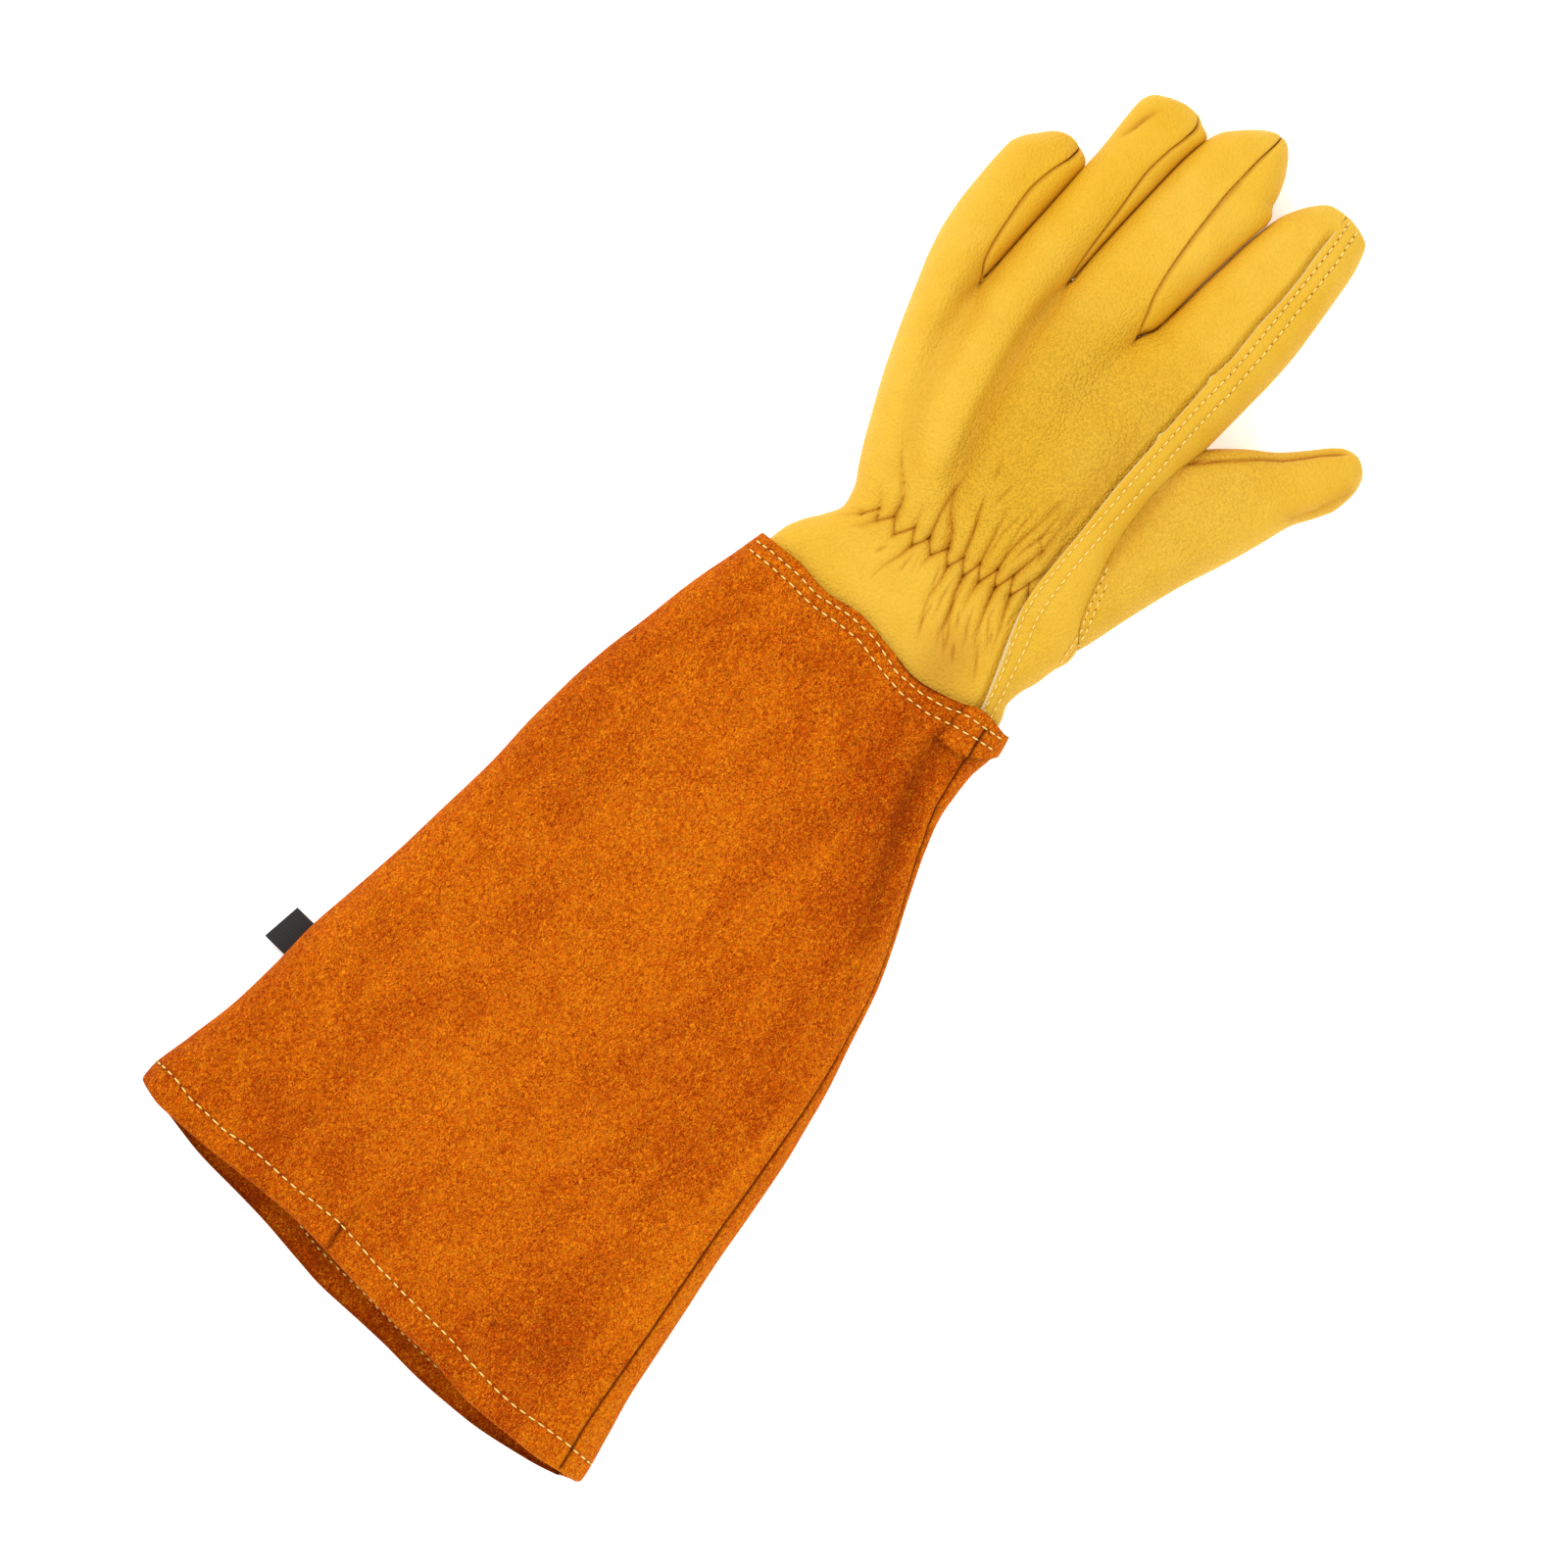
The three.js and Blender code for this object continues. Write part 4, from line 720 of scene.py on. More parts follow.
def makeSuede():
    material, tree, shader = startMaterial("orange split suede")
    where = objectPlace(tree)
    fold, brushed = attribute(tree, "fold"), attribute(tree, "brushed")
    along = add(tree, "ShaderNodeMapping", inputs={"Vector": where, "Scale": (1, 0.68, 1)}).outputs[0]
    stroked = add(tree, "ShaderNodeMapping", inputs={"Vector": where, "Scale": (1, 0.45, 1)}).outputs[0]
    nap = noise(tree, along, suede["nap"], 2.5, 0.6, 1.6)
    tuft = noise(tree, along, suede["tuft"], 3, 0.6, 1.2)
    patch = noise(tree, stroked, suede["patch"], 4, 0.6, 0.5)
    # tone: the hide's own patches plus the gauntlet's map of nap tone, painted light and painted shade
    tone = maths(tree, "ADD", scaled(tree, patch, 0.38, 0.62, 0.5), brushed)
    # more pale fibres show where the tone is higher, from the hide's patches and from painted light alike
    nap = maths(tree, "ADD", nap, maths(tree, "MULTIPLY", maths(tree, "SUBTRACT", tone, 0.85), 0.08))
    colour = mixColours(tree, tone, linear(suede["dark"]), linear(suede["base"]))
    colour = mixColours(tree, scaled(tree, tuft, 0.47, 0.66, 0.22), colour, linear(suede["light"]))
    colour = mixColours(tree, scaled(tree, nap, 0.51, 0.64, 0.8), colour, linear("#ff9c14"))
    colour = mixColours(tree, scaled(tree, nap, 0.49, 0.36, 0.85), colour, linear("#8c2a00"))
    # the nap parts along short curled lines
    curl = noise(tree, along, suede["curl"], 1, 0.5, 1.4)
    parting = ramp(tree, maths(tree, "ABSOLUTE", maths(tree, "SUBTRACT", curl, 0.5)), 0.05, 0.0)
    colour = mixColours(tree, maths(tree, "MULTIPLY", parting, 0.42), colour, linear("#822600"))
    # painted shade from the fold attribute in seams, dents, stitch rows and the hem pleat, with the scar's
    # real dark mark
    colour = mixColours(tree, fold, colour, linear("#6a2402"))
    height = maths(tree, "SUBTRACT", maths(tree, "ADD", nap, maths(tree, "MULTIPLY", tuft, 0.8)),
                   maths(tree, "MULTIPLY", parting, 0.25))
    applySurface(tree, shader, colour, height, 0.8, 0.0012)
    shader.inputs["Roughness"].default_value = 0.95
    shader.inputs["Specular IOR Level"].default_value = 0.06
    return material


# Bonded polyester sewing thread, three-ply, a little shiny.
def makeThread():
    material, tree, shader = startMaterial("pale yellow sewing thread")
    where = objectPlace(tree)
    twist = noise(tree, where, 0.4, 2)
    colour = mixColours(tree, twist, linear("#ffe690"), linear("#f0c456"))
    tree.links.new(colour, shader.inputs["Base Color"])
    shader.inputs["Roughness"].default_value = 0.6
    return material


# Damask-woven polyester ribbon: fine crosswise ribs, matt black.
def makeRibbon():
    material, tree, shader = startMaterial("black woven ribbon")
    where = objectPlace(tree)
    weave = add(tree, "ShaderNodeTexWave", {"bands_direction": "Y"}, {
        "Vector": where, "Scale": 1000 / 0.5 / 6.28, "Distortion": 0.4, "Detail": 1.0}).outputs["Fac"]
    colour = mixColours(tree, weave, linear("#1b1b1c"), linear("#242425"))
    applySurface(tree, shader, colour, weave, 0.2, 0.0001)
    shader.inputs["Roughness"].default_value = 0.75
    return material


# Needle holes: the shadowed inside of the hide, no thread in sight.
def makeHole(name, code):
    material, tree, shader = startMaterial(name)
    where = objectPlace(tree)
    colour = mixColours(tree, noise(tree, where, 0.6), linear(code), linear("#3a1c04"))
    tree.links.new(colour, shader.inputs["Base Color"])
    shader.inputs["Roughness"].default_value = 1.0
    return material


leatherHole = makeHole("needle hole in leather", "#b47c18")
suedeHole = makeHole("needle hole in suede", "#8a3404")
grainLeather, cutLeather, splitSuede = makeLeather(), makeCutEdge(), makeSuede()
thread, ribbon = makeThread(), makeRibbon()
print("materials made")


# stitches: a row of thread segments along a drawn line, made by one node tree

def makeStitchTree():
    tree = bpy.data.node_groups.new("stitch row", "GeometryNodeTree")
    tree.interface.new_socket("Geometry", in_out="INPUT", socket_type="NodeSocketGeometry")
    for name, value in (("Pitch", 0.0027), ("Length", 0.0019), ("Thickness", 0.00055)):
        tree.interface.new_socket(name, in_out="INPUT", socket_type="NodeSocketFloat").default_value = value
    tree.interface.new_socket("Material", in_out="INPUT", socket_type="NodeSocketMaterial")
    tree.interface.new_socket("Hole", in_out="INPUT", socket_type="NodeSocketMaterial")
    tree.interface.new_socket("Seed", in_out="INPUT", socket_type="NodeSocketInt").default_value = 7
    tree.interface.new_socket("Geometry", in_out="OUTPUT", socket_type="NodeSocketGeometry")
    given = add(tree, "NodeGroupInput")
    line = add(tree, "GeometryNodeMeshToCurve", inputs={"Mesh": given.outputs["Geometry"]})
    marked = add(tree, "GeometryNodeResampleCurve", {"mode": "LENGTH"}, {
        "Curve": line.outputs[0], "Length": given.outputs["Pitch"]})
    bead = add(tree, "GeometryNodeMeshUVSphere", inputs={"Segments": 8, "Rings": 6, "Radius": 0.5})
    lean = add(tree, "FunctionNodeRandomValue", {"data_type": "FLOAT"}, {"Seed": given.outputs["Seed"]})
    lean.inputs[2].default_value, lean.inputs[3].default_value = 0.86, 1.1
    length = maths(tree, "MULTIPLY", given.outputs["Length"], lean.outputs[1])
    size = add(tree, "ShaderNodeCombineXYZ", inputs={
        "X": length, "Y": given.outputs["Thickness"], "Z": given.outputs["Thickness"]})
    tangent = add(tree, "GeometryNodeInputTangent")
    upward = add(tree, "GeometryNodeInputNamedAttribute", {"data_type": "FLOAT_VECTOR"}, {"Name": "upward"})
    turnX = add(tree, "FunctionNodeAlignRotationToVector", {"axis": "X"}, {"Vector": tangent.outputs[0]})
    turn = add(tree, "FunctionNodeAlignRotationToVector", {"axis": "Z", "pivot_axis": "X"}, {
        "Rotation": turnX.outputs[0], "Vector": upward.outputs[0]})
    placed = add(tree, "GeometryNodeInstanceOnPoints", inputs={
        "Points": marked.outputs[0], "Instance": bead.outputs[0], "Rotation": turn.outputs[0],
        "Scale": size.outputs[0]})
    real = add(tree, "GeometryNodeRealizeInstances", inputs={"Geometry": placed.outputs[0]})
    shade = add(tree, "GeometryNodeSetShadeSmooth", inputs={"Geometry": real.outputs[0]})
    dressed = add(tree, "GeometryNodeSetMaterial", inputs={
        "Geometry": shade.outputs[0], "Material": given.outputs["Material"]})
    # a pricked hole at each end of a stitch
    half = maths(tree, "MULTIPLY", given.outputs["Pitch"], 0.5)
    later = add(tree, "GeometryNodeTrimCurve", {"mode": "LENGTH"}, {"Curve": line.outputs[0]})
    starts, ends = ([socket for socket in later.inputs if socket.name == name] for name in ("Start", "End"))
    tree.links.new(half, starts[-1])
    ends[-1].default_value = 10
    between = add(tree, "GeometryNodeResampleCurve", {"mode": "LENGTH"}, {
        "Curve": later.outputs[0], "Length": given.outputs["Pitch"]})
    flat = add(tree, "ShaderNodeCombineXYZ", inputs={"X": 0.0007, "Y": 0.00042, "Z": 0.0002})
    pricked = add(tree, "GeometryNodeInstanceOnPoints", inputs={
        "Points": between.outputs[0], "Instance": bead.outputs[0], "Rotation": turn.outputs[0],
        "Scale": flat.outputs[0]})
    holes = add(tree, "GeometryNodeRealizeInstances", inputs={"Geometry": pricked.outputs[0]})
    holed = add(tree, "GeometryNodeSetMaterial", inputs={
        "Geometry": holes.outputs[0], "Material": given.outputs["Hole"]})
    both = add(tree, "GeometryNodeJoinGeometry")
    tree.links.new(dressed.outputs[0], both.inputs[0])
    tree.links.new(holed.outputs[0], both.inputs[0])
    add(tree, "NodeGroupOutput", inputs={0: both.outputs[0]})
    return tree


stitchTree = makeStitchTree()


def surfaceUnder(pieces):
    graph = bpy.context.evaluated_depsgraph_get()
    return [BVHTree.FromObject(piece, graph) for piece in pieces]


def dropOnto(trees, x, y):
    # where a plumb line at x, y (mm, pattern) meets the pieces, in metres
    start, way = Vector(((x + cuffJoint[0]) / 1000, (y + cuffJoint[1]) / 1000, 0.2)), Vector((0, 0, -1))
    hits = [hit for hit in (tree.ray_cast(start, way) for tree in trees) if hit[0] is not None]
    if not hits:
        return None
    spot, normal = min(hits, key=lambda hit: hit[3])[:2]
    if normal.dot(way) > 0:
        normal = -normal
    return spot, normal


def stitchRow(name, lines, trees, pitch, length, thick, hole, sink=0.06):
    points, normals, edges = [], [], []
    for line in lines:
        line = np.array(line, float)
        lengths = np.hypot(*(line[1:] - line[:-1]).T)
        total = lengths.sum()
        marks = np.concatenate([[0], np.cumsum(lengths)])
        last = None
        for s in np.linspace(0, total, int(total / 0.9) + 2):
            hit = dropOnto(trees, np.interp(s, marks, line[:, 0]), np.interp(s, marks, line[:, 1]))
            if hit is None:
                last = None
                continue
            points.append(hit[0] + hit[1] * ((thick / 2 - sink) / 1000))
            normals.append(hit[1])
            if last is not None:
                edges.append((last, len(points) - 1))
            last = len(points) - 1
    mesh = bpy.data.meshes.new(name + " path")
    mesh.from_pydata([tuple(p) for p in points], edges, [])
    layer = mesh.attributes.new("upward", "FLOAT_VECTOR", "POINT")
    layer.data.foreach_set("vector", np.array(normals, np.float32).ravel())
    path = bpy.data.objects.new(name + " path", mesh)
    bpy.context.scene.collection.objects.link(path)
    modifier = path.modifiers.new("stitches", "NODES")
    modifier.node_group = stitchTree
    values = {"Pitch": pitch / 1000, "Length": length / 1000, "Thickness": thick / 1000, "Material": thread,
              "Hole": hole}
    for socket in stitchTree.interface.items_tree:
        if socket.in_out == "INPUT" and socket.name in values:
            modifier[socket.identifier] = values[socket.name]
    graph = bpy.context.evaluated_depsgraph_get()
    made = bpy.data.meshes.new_from_object(path.evaluated_get(graph))
    bpy.data.objects.remove(path)
    made.name = name
    piece = bpy.data.objects.new(name, made)
    bpy.context.scene.collection.objects.link(piece)
    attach(piece, "root")
    print(f"{name}: {len(made.polygons)} faces")


# back of the hand

gather = dict(depth=2.0, width=0.66, zigzag=1.2)
# the elastic's zigzag, then the folds that leave its points, upward and downward
zigzag = [(-27.2, 24.7), (-23.5, 29.2), (-22, 26), (-18.5, 30.2), (-15.5, 26), (-12, 31.2), (-9.3, 26.7),
          (-6.5, 31.5), (-3.2, 28), (-0.6, 32.5), (2.7, 28.3), (4.8, 33.2), (8.2, 29), (9.8, 34.8),
          (12.8, 30.5), (14.8, 36.7), (17.5, 32), (19.6, 38.2), (22.5, 33), (24.7, 39.2), (26.8, 36.2)]
foldsUp = [
    (0.5, [(-23.5, 29.2), (-25.5, 32.5), (-28, 35.5)]),
    (1.0, [(-18.5, 30.2), (-19.5, 35), (-22, 39), (-26, 43), (-30, 49)]),
    (0.6, [(-12, 31.2), (-13, 35), (-15, 39.5)]),
    (1.1, [(-6.5, 31.5), (-7.5, 36), (-8.7, 41), (-9.5, 45)]),
    (1.2, [(-0.6, 32.5), (-2.5, 37), (-6.5, 41.5), (-9, 46), (-10.5, 50)]),
    (0.9, [(4.8, 33.2), (3.2, 38), (1.8, 43), (-0.5, 48), (-1.5, 52)]),
    (0.8, [(9.8, 34.8), (9, 39), (8, 44), (6, 49)]),
    (0.9, [(14.8, 36.7), (14.2, 42), (14.7, 48), (16, 54), (17, 60), (18, 65)]),
    (0.9, [(19.6, 38.2), (20.7, 44), (22, 50), (22, 57), (21, 64)]),
    (0.7, [(24.7, 39.2), (26.5, 45), (26.8, 50)])]
foldsDown = [
    (0.5, [(-27.2, 24.7), (-30, 22.5), (-33, 20)]),
    (0.6, [(-22, 26), (-24, 22.5), (-27, 20)]),
    (0.4, [(-15.5, 26), (-16, 22.5)]),
    (0.8, [(-9.3, 26.7), (-10.3, 22), (-12, 17), (-13, 11)]),
    (0.5, [(-3.2, 28), (-3.2, 22)]),
    (0.9, [(2.7, 28.3), (3.8, 24), (4, 18), (6, 13), (9, 8)]),
    (1.1, [(8.2, 29), (9.5, 23.5), (12, 18), (13.5, 13), (17, 9)]),
    (0.8, [(12.8, 30.5), (13.5, 25), (15, 20)]),
    (1.2, [(17.5, 32), (18.8, 27), (20.5, 22), (22, 18), (24.5, 14)]),
    (1.0, [(22.5, 33), (24.5, 28), (26.5, 23.5), (28, 19), (29.5, 15)])]
fineFolds = [
    [(17.5, 67.7), (15.6, 55.2)], [(21.9, 66.4), (23.1, 57.1)], [(10.7, 56.5), (9.4, 46.5), (10.3, 35.3)],
    [(5.7, 55.2), (7.6, 45.3), (9.4, 37.2)], [(-1.8, 52.7), (0.7, 45.3), (4.4, 35.3)],
    [(-4.3, 64), (-1.8, 55.2)], [(18.1, 52.7), (21.9, 49), (23.1, 44)],
    [(24.4, 61.4), (24.6, 51.5)], [(19.4, 61.4), (18.8, 49)],
    [(-10.5, 55.2), (-9.2, 45.3), (-7.4, 37.8)], [(12.6, 62), (12.4, 50), (14, 41)],
    [(26, 58), (25.6, 47)], [(20.5, 57), (17.2, 46), (16.6, 39.5)], [(3, 60), (2.2, 50)],
    [(5.7, 19.1), (6.9, 11.7), (9.4, 5.4)], [(0.7, 27.8), (3.2, 20.4)],
    [(11.9, 17.9), (15.6, 12.9), (18.1, 6.7)],
    [(23.1, 17.9), (28.1, 10.4), (30.6, 5.4)], [(-14.8, 22.9), (-16.7, 17.9)], [(18.1, 12.9), (21.9, 6.7)],
    [(15.6, 25.4), (18.1, 19.1), (21.9, 11.7)], [(20.6, 30), (21.9, 24.1), (28.1, 15.4)],
    [(9.6, 27), (11.3, 19.1), (13.2, 11.7), (15.6, 6.7)], [(-7.5, 25.6), (-7.2, 18)],
    [(6.2, 28), (7.4, 20), (9.2, 14)],
    [(26.4, 31), (27.4, 24.5)], [(13.6, 21), (16.6, 15.5)], [(24.4, 22.6), (27.2, 18)]]


def gatherLift(x, y):
    # lift carves the creases; dark holds painted shade along each crease and along the zigzag
    lift, dark = np.zeros(x.shape), np.zeros(x.shape)
    near = (y > 0) & (y < 72)
    px, py = x[near], y[near]
    here, shade = np.zeros(px.shape), np.zeros(px.shape)
    for strength, line in foldsUp + foldsDown:
        far, along = towardLine(px, py, line)
        fade = (1 - along) ** 0.8
        here -= strength * gather["depth"] * fade * np.exp(-far / gather["width"])
        here += 0.4 * strength * fade * hump(far, 2.1, 1.2)
        shade += 0.66 * strength * fade ** 0.5 * np.exp(-(far / 0.24) ** 2)
        shade += 0.22 * strength * fade * np.exp(-far / 1.6)
    for line in fineFolds:
        far, along = towardLine(px, py, line)
        fade = np.sin(np.clip(along, 0.03, 0.97) * np.pi)
        here -= 0.6 * fade * np.exp(-far / 0.6)
        here += 0.18 * fade * hump(far, 1.5, 0.9)
        shade += 0.5 * fade * np.exp(-(far / 0.34) ** 2)
    far = towardLine(px, py, zigzag)[0]
    here -= gather["zigzag"] * np.exp(-far / 0.55)
    shade += 0.8 * np.exp(-(far / 0.26) ** 2) + 0.15 * np.exp(-far / 2.0)
    lift[near], dark[near] = here, shade
    return lift, dark


def seamLift(far, depth=0.3, width=0.45):
    # sewn edges turn in: a groove, with the leather puffed a little beside it
    return -depth * np.exp(-(far / width) ** 2) + 0.07 * hump(far, 1.9, 1.0)


def seamShade(far):
    return 0.65 * np.exp(-(far / 0.26) ** 2)


def pebbleShare(x, y):
    share = 0.25 + 0.75 * smooth(-22, -12, x) * smooth(135, 95, y) * smooth(20, 60, y)
    return share * (1 - 0.6 * smooth(120, 170, y)) + 0.2


def shapeBack(points, normals, rim):
    x, y, z = points.T
    onTop = np.clip(normals[:, 2] * 1.5, 0, 1)
    byLap = (np.abs(rim[:, 0] - read(lineTable, "lap", rim[:, 1])) < 8) & (rim[:, 0] > 24)
    seams = rim[(rim[:, 1] >= -6) & ~byLap]
    far = distanceTo(points, seams)
    lift = seamLift(far)
    folds, dark = gatherLift(x, y)
    lift += folds * onTop
    # the back slips under the lap
    fingerX = read(fingers[3]["table"], "seam", np.minimum(y, 183))
    lapX = np.where(y < 100.5, read(lineTable, "lap", y), fingerX)
    past = smooth(-2.4, -0.2, x - lapX) * (1 - smooth(173, 180, y)) * (x > 5)
    lift -= lap["dip"] * past * onTop
    lift -= 0.8 * hump(x, 22, 4) * hump(y, 76, 17) * onTop
    # the deep valley's thumb side is the steeper
    valley = read(lineTable, "valley1", y)
    down = smooth(36, 60, y) * smooth(124, 104, y) * onTop
    lift -= 1.3 * hump(x, valley - 0.8, 2.6) * down
    outer = read(lineTable, "valley0", y)
    lift -= 0.8 * hump(x, outer, 4) * smooth(34, 55, y) * smooth(112, 98, y) * onTop
    # crease across the ring fingertip
    near, along = towardLine(x, y, [(-32, 174), (-35, 168), (-37.5, 158)])
    creased = np.sin(np.clip(along, 0.02, 0.98) * np.pi) * onTop
    lift -= 2.2 * np.exp(-near / 1.3) * creased
    # painted shade: in the gathers and seams, on the deep valley's steep side, in the fingertip crease and
    # the outer valley, in the hollow by the lap and broadly above the cuff on the thumb side
    dark = dark * 0.85 + seamShade(far)
    beyond = x - valley + 0.5
    dark += 0.34 * np.exp(-(np.maximum(beyond, 0) / 3.6 + np.maximum(-beyond, 0) / 1.6)) * down
    dark += 0.55 * np.exp(-near / 0.8) * creased
    dark += 0.14 * hump(x, outer, 3.6) * smooth(34, 55, y) * onTop
    dark += 0.26 * hump(x, 22.5, 4) * hump(y, 74, 22) * onTop
    dark += 0.42 * hump(x, 20, 9) * smooth(-6, 2, y) * smooth(24, 8, y) * onTop
    # the strip beside the lap lies in its shadow
    dark += 0.16 * np.exp(-np.abs(x - lapX + 0.6) / 0.9) * smooth(182, 172, y) * (x > 5)
    return lift, {"fold": np.clip(dark, 0, 1), "pebbled": pebbleShare(x, y)}


def calmValleys(points):
    x, y, z = points.T
    weight = np.zeros(len(points))
    for i, (strength, reach) in enumerate(((0.8, 4), (0.35, 2.5), (0.9, 5))):
        down = smooth(backWebs[i] - 1, backWebs[i] - 7, y) * smooth(50, 64, y)
        weight = np.maximum(weight, strength * hump(x, read(lineTable, f"valley{i}", y), reach) * down)
    return weight


def upFinger(number, web, count):
    # rows from the web to the fingertip, closer together toward the tip
    share = 1 - (1 - np.linspace(0, 1, count + 1)[1:]) ** 1.25
    return web[None, :] + (fingers[number]["tipReach"] - web)[None, :] * share[:, None]


def makeBack():
    # rows run straight at the wrist and bend toward the webs
    base, bend = 100.5, 62
    lowRows = spaced([-8, 4, bend, base], [8, 142, 34])
    lapColumns = spaced([0, lap["near"], lap["edge"], 1], [38, 9, 6])
    patches = []
    for number in range(4):
        columns = np.linspace(0, 1, 43) if number < 3 else lapColumns
        web = webAcross(backWebs, number, columns)
        low = lowRows[:, None] + (web - base)[None, :] * smooth(bend, base, lowRows)[:, None]
        reach = np.concatenate([low, upFinger(number, web, 72)])
        patches.append(backPoint(number, np.broadcast_to(columns[None, :], reach.shape), reach))
    piece = makeShell("back_of_hand", patches, grainWall, shapeBack, calm=calmValleys,
                      materials=[grainLeather])
    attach(piece, "root")
    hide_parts("hand_back")
    return piece


# palm, with the lap that comes round the index finger

def shapePalm(points, normals, rim):
    x, y, z = points.T
    isLap = (rim[:, 2] > 9) & (rim[:, 0] > 20)
    seams = rim[~isLap & (rim[:, 1] > -6)]
    far = distanceTo(points, seams)
    lift = seamLift(far)
    dark = seamShade(far)
    top = (z > 9) & (x > 18)
    raw = distanceTo(points, rim[isLap])
    lift -= 0.3 * np.exp(-(raw / 0.4) ** 2)
    # painted shade in the grooves where the stitch rows sink
    for row in lapRows.values():
        near = towardLine(x, y, row)[0]
        lift -= np.where(top, 0.26 * np.exp(-(near / 0.6) ** 2), 0)
        dark += np.where(top, 0.16 * np.exp(-(near / 0.45) ** 2), 0)
    offset = normals * lift[:, None]
    # two nicks where the lap was trimmed
    for deep, nickY, reach in ((0.9, 120.4, 1.7), (1.1, 97.6, 1.9)):
        offset[:, 0] -= deep * np.maximum(1 - np.abs(y - nickY) / reach, 0) * np.exp(-raw / 0.8) * top
    # at the fingertip the lap's edge closes on the back
    offset[:, 0] -= 0.45 * smooth(178.5, 181, y) * np.exp(-raw / 0.8) * top
    return offset, {"fold": np.clip(dark, 0, 1), "pebbled": 0.35 + 0.3 * smooth(60, 20, y)}


lapRows = dict(
    inner=[(32, 181.5), (32.7, 172), (32.8, 160), (32.8, 140), (32.5, 125), (31, 110), (30.3, 97),
           (29.8, 85), (29, 70), (28.7, 60),
           (28.3, 50), (28.2, 40), (29, 33), (31.5, 25), (35, 14), (38, 2)],
    outer=[(35.5, 180.5), (36.3, 170), (36.4, 150), (36.4, 135), (35.8, 120), (34.8, 110), (34, 97),
           (33.5, 85), (32.7, 70), (32.3, 60),
           (32.1, 50), (32.3, 40), (33, 33), (35.5, 25), (38.5, 12), (40.5, 2)],
    thumbInner=[(40, 57), (41.5, 51), (43, 45), (45.5, 38), (46, 32), (46.5, 28)],
    thumbOuter=[(43, 53), (44.5, 47), (46.5, 40), (47.5, 34), (47.8, 30)])


def makePalm():
    lowRows = spaced([-8, 4, 60, gunnCut], [8, 50, 42])
    patches = []
    for number in range(4):
        count = (20, 16, 16, 66)[number]
        columns = np.linspace(0, 1, count + 1)
        if number == 3:
            columns = np.append(columns[:-1] * 0.99 / columns[-2], [0.9935, 0.997, 1])
        if number in (0, 3):
            web = webAcross(frontWebs, number, columns)
            low = np.repeat(lowRows[:, None], len(columns), 1)
            bridge = gunnCut + (web - gunnCut)[None, :] * np.linspace(0, 1, 13)[1:, None]
            reach = np.concatenate([low, bridge, upFinger(number, web, 90)])
        else:
            reach = np.repeat(lowRows[:, None], len(columns), 1)
        patches.append(frontPoint(number, np.broadcast_to(columns[None, :], reach.shape), reach))

    def isCut(points):
        return (points[:, 2] > 9) & (points[:, 0] > 20) & (points[:, 1] < 181)

    def cutReach(points):
        return 0.4 + 0.45 * smooth(34, 27, points[:, 1])

    piece = makeShell("palm_leather", patches, grainWall, shapePalm, flip=True, isCut=isCut,
                      cutReach=cutReach, materials=[grainLeather, cutLeather])
    # open to the thumb
    quarters, stations = np.meshgrid(np.linspace(0, 4, 65)[:-1], np.linspace(0.2, 9.5, 60))
    carve(piece, *closedTube(thumbPoint(quarters, stations), -grainWall - 0.9))
    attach(piece, "root")
    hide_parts("palm")
    return piece


def shapeStrip(points, normals, rim):
    far = distanceTo(points, rim)
    return seamLift(far), {"fold": np.clip(seamShade(far), 0, 1), "pebbled": 0.25 + 0 * far}


def makeFront(name, node, number):
    columns = np.linspace(0, 1, 25)
    web = webAcross(frontWebs, number, columns)
    start = gunnCut + 0.15
    bridge = start + (web - start)[None, :] * np.linspace(0, 1, 15)[:, None]
    reach = np.concatenate([bridge, upFinger(number, web, 80)])
    t = np.broadcast_to(lerp(0.006, 0.994, columns)[None, :], reach.shape)
    piece = makeShell(name, [frontPoint(number, t, reach)], grainWall, shapeStrip, flip=True,
                      materials=[grainLeather])
    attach(piece, "root")
    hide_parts(node)
    return piece


def makeFourchette(name, node, number):
    # down one finger, round the web, up the next
    columns = np.linspace(0, 1, 15)
    webs = lerp(backWebs[number], frontWebs[number], columns)

    def side(sign, reach):
        finger = number if sign > 0 else number + 1
        s = fingerSection(finger, reach)
        past = reach - webs[None, :]
        trim = np.minimum((seamGap / 2 + 0.05 * np.exp(-np.maximum(past, 0) / 3)) / s.quarter, 0.16)
        if sign > 0:
            upper, lower = backRight(finger, reach) - trim, frontRight(finger, reach) - 4 + trim
        else:
            upper, lower = backLeft(finger, reach) + trim, frontLeft(finger, reach) - trim
        point = fingerPoint(finger, lerp(upper, lower, columns[None, :]), reach, (upper + lower) / 2)
        if sign > 0:
            y = point[..., 1]
            near, far = fingers[number]["table"], fingers[number + 1]["table"]
            apart = read(far, "left", y) - read(near, "right", y)
            press = np.clip(apart - 0.06, 0, 1.7) * smooth(4.5, 2.6, apart) * smooth(0, 2, past)
            point[..., 0] += 1.12 * press * (1 - (2 * columns - 1) ** 4)
        return point

    def rising(finger):
        return np.concatenate([(webs + 0.4)[None, :], upFinger(finger, webs, 79)])

    bottom = (side(1, webs[None, :]) + side(-1, webs[None, :])) / 2
    strip = np.concatenate([side(1, rising(number))[::-1], bottom, side(-1, rising(number + 1))])
    piece = makeShell(name, [strip], grainWall, shapeStrip, flip=True, materials=[grainLeather])
    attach(piece, "root")
    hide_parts(node)
    return piece


# thumb

thumbSeam = [(38, 96), (40.3, 98), (45, 102.5), (50, 107), (55, 111.5), (60, 115), (64, 119), (68, 123.5),
             (72, 127), (75.5, 129.5)]
thumbFold = [(73, 103), (78, 109), (80, 115), (82, 120)]


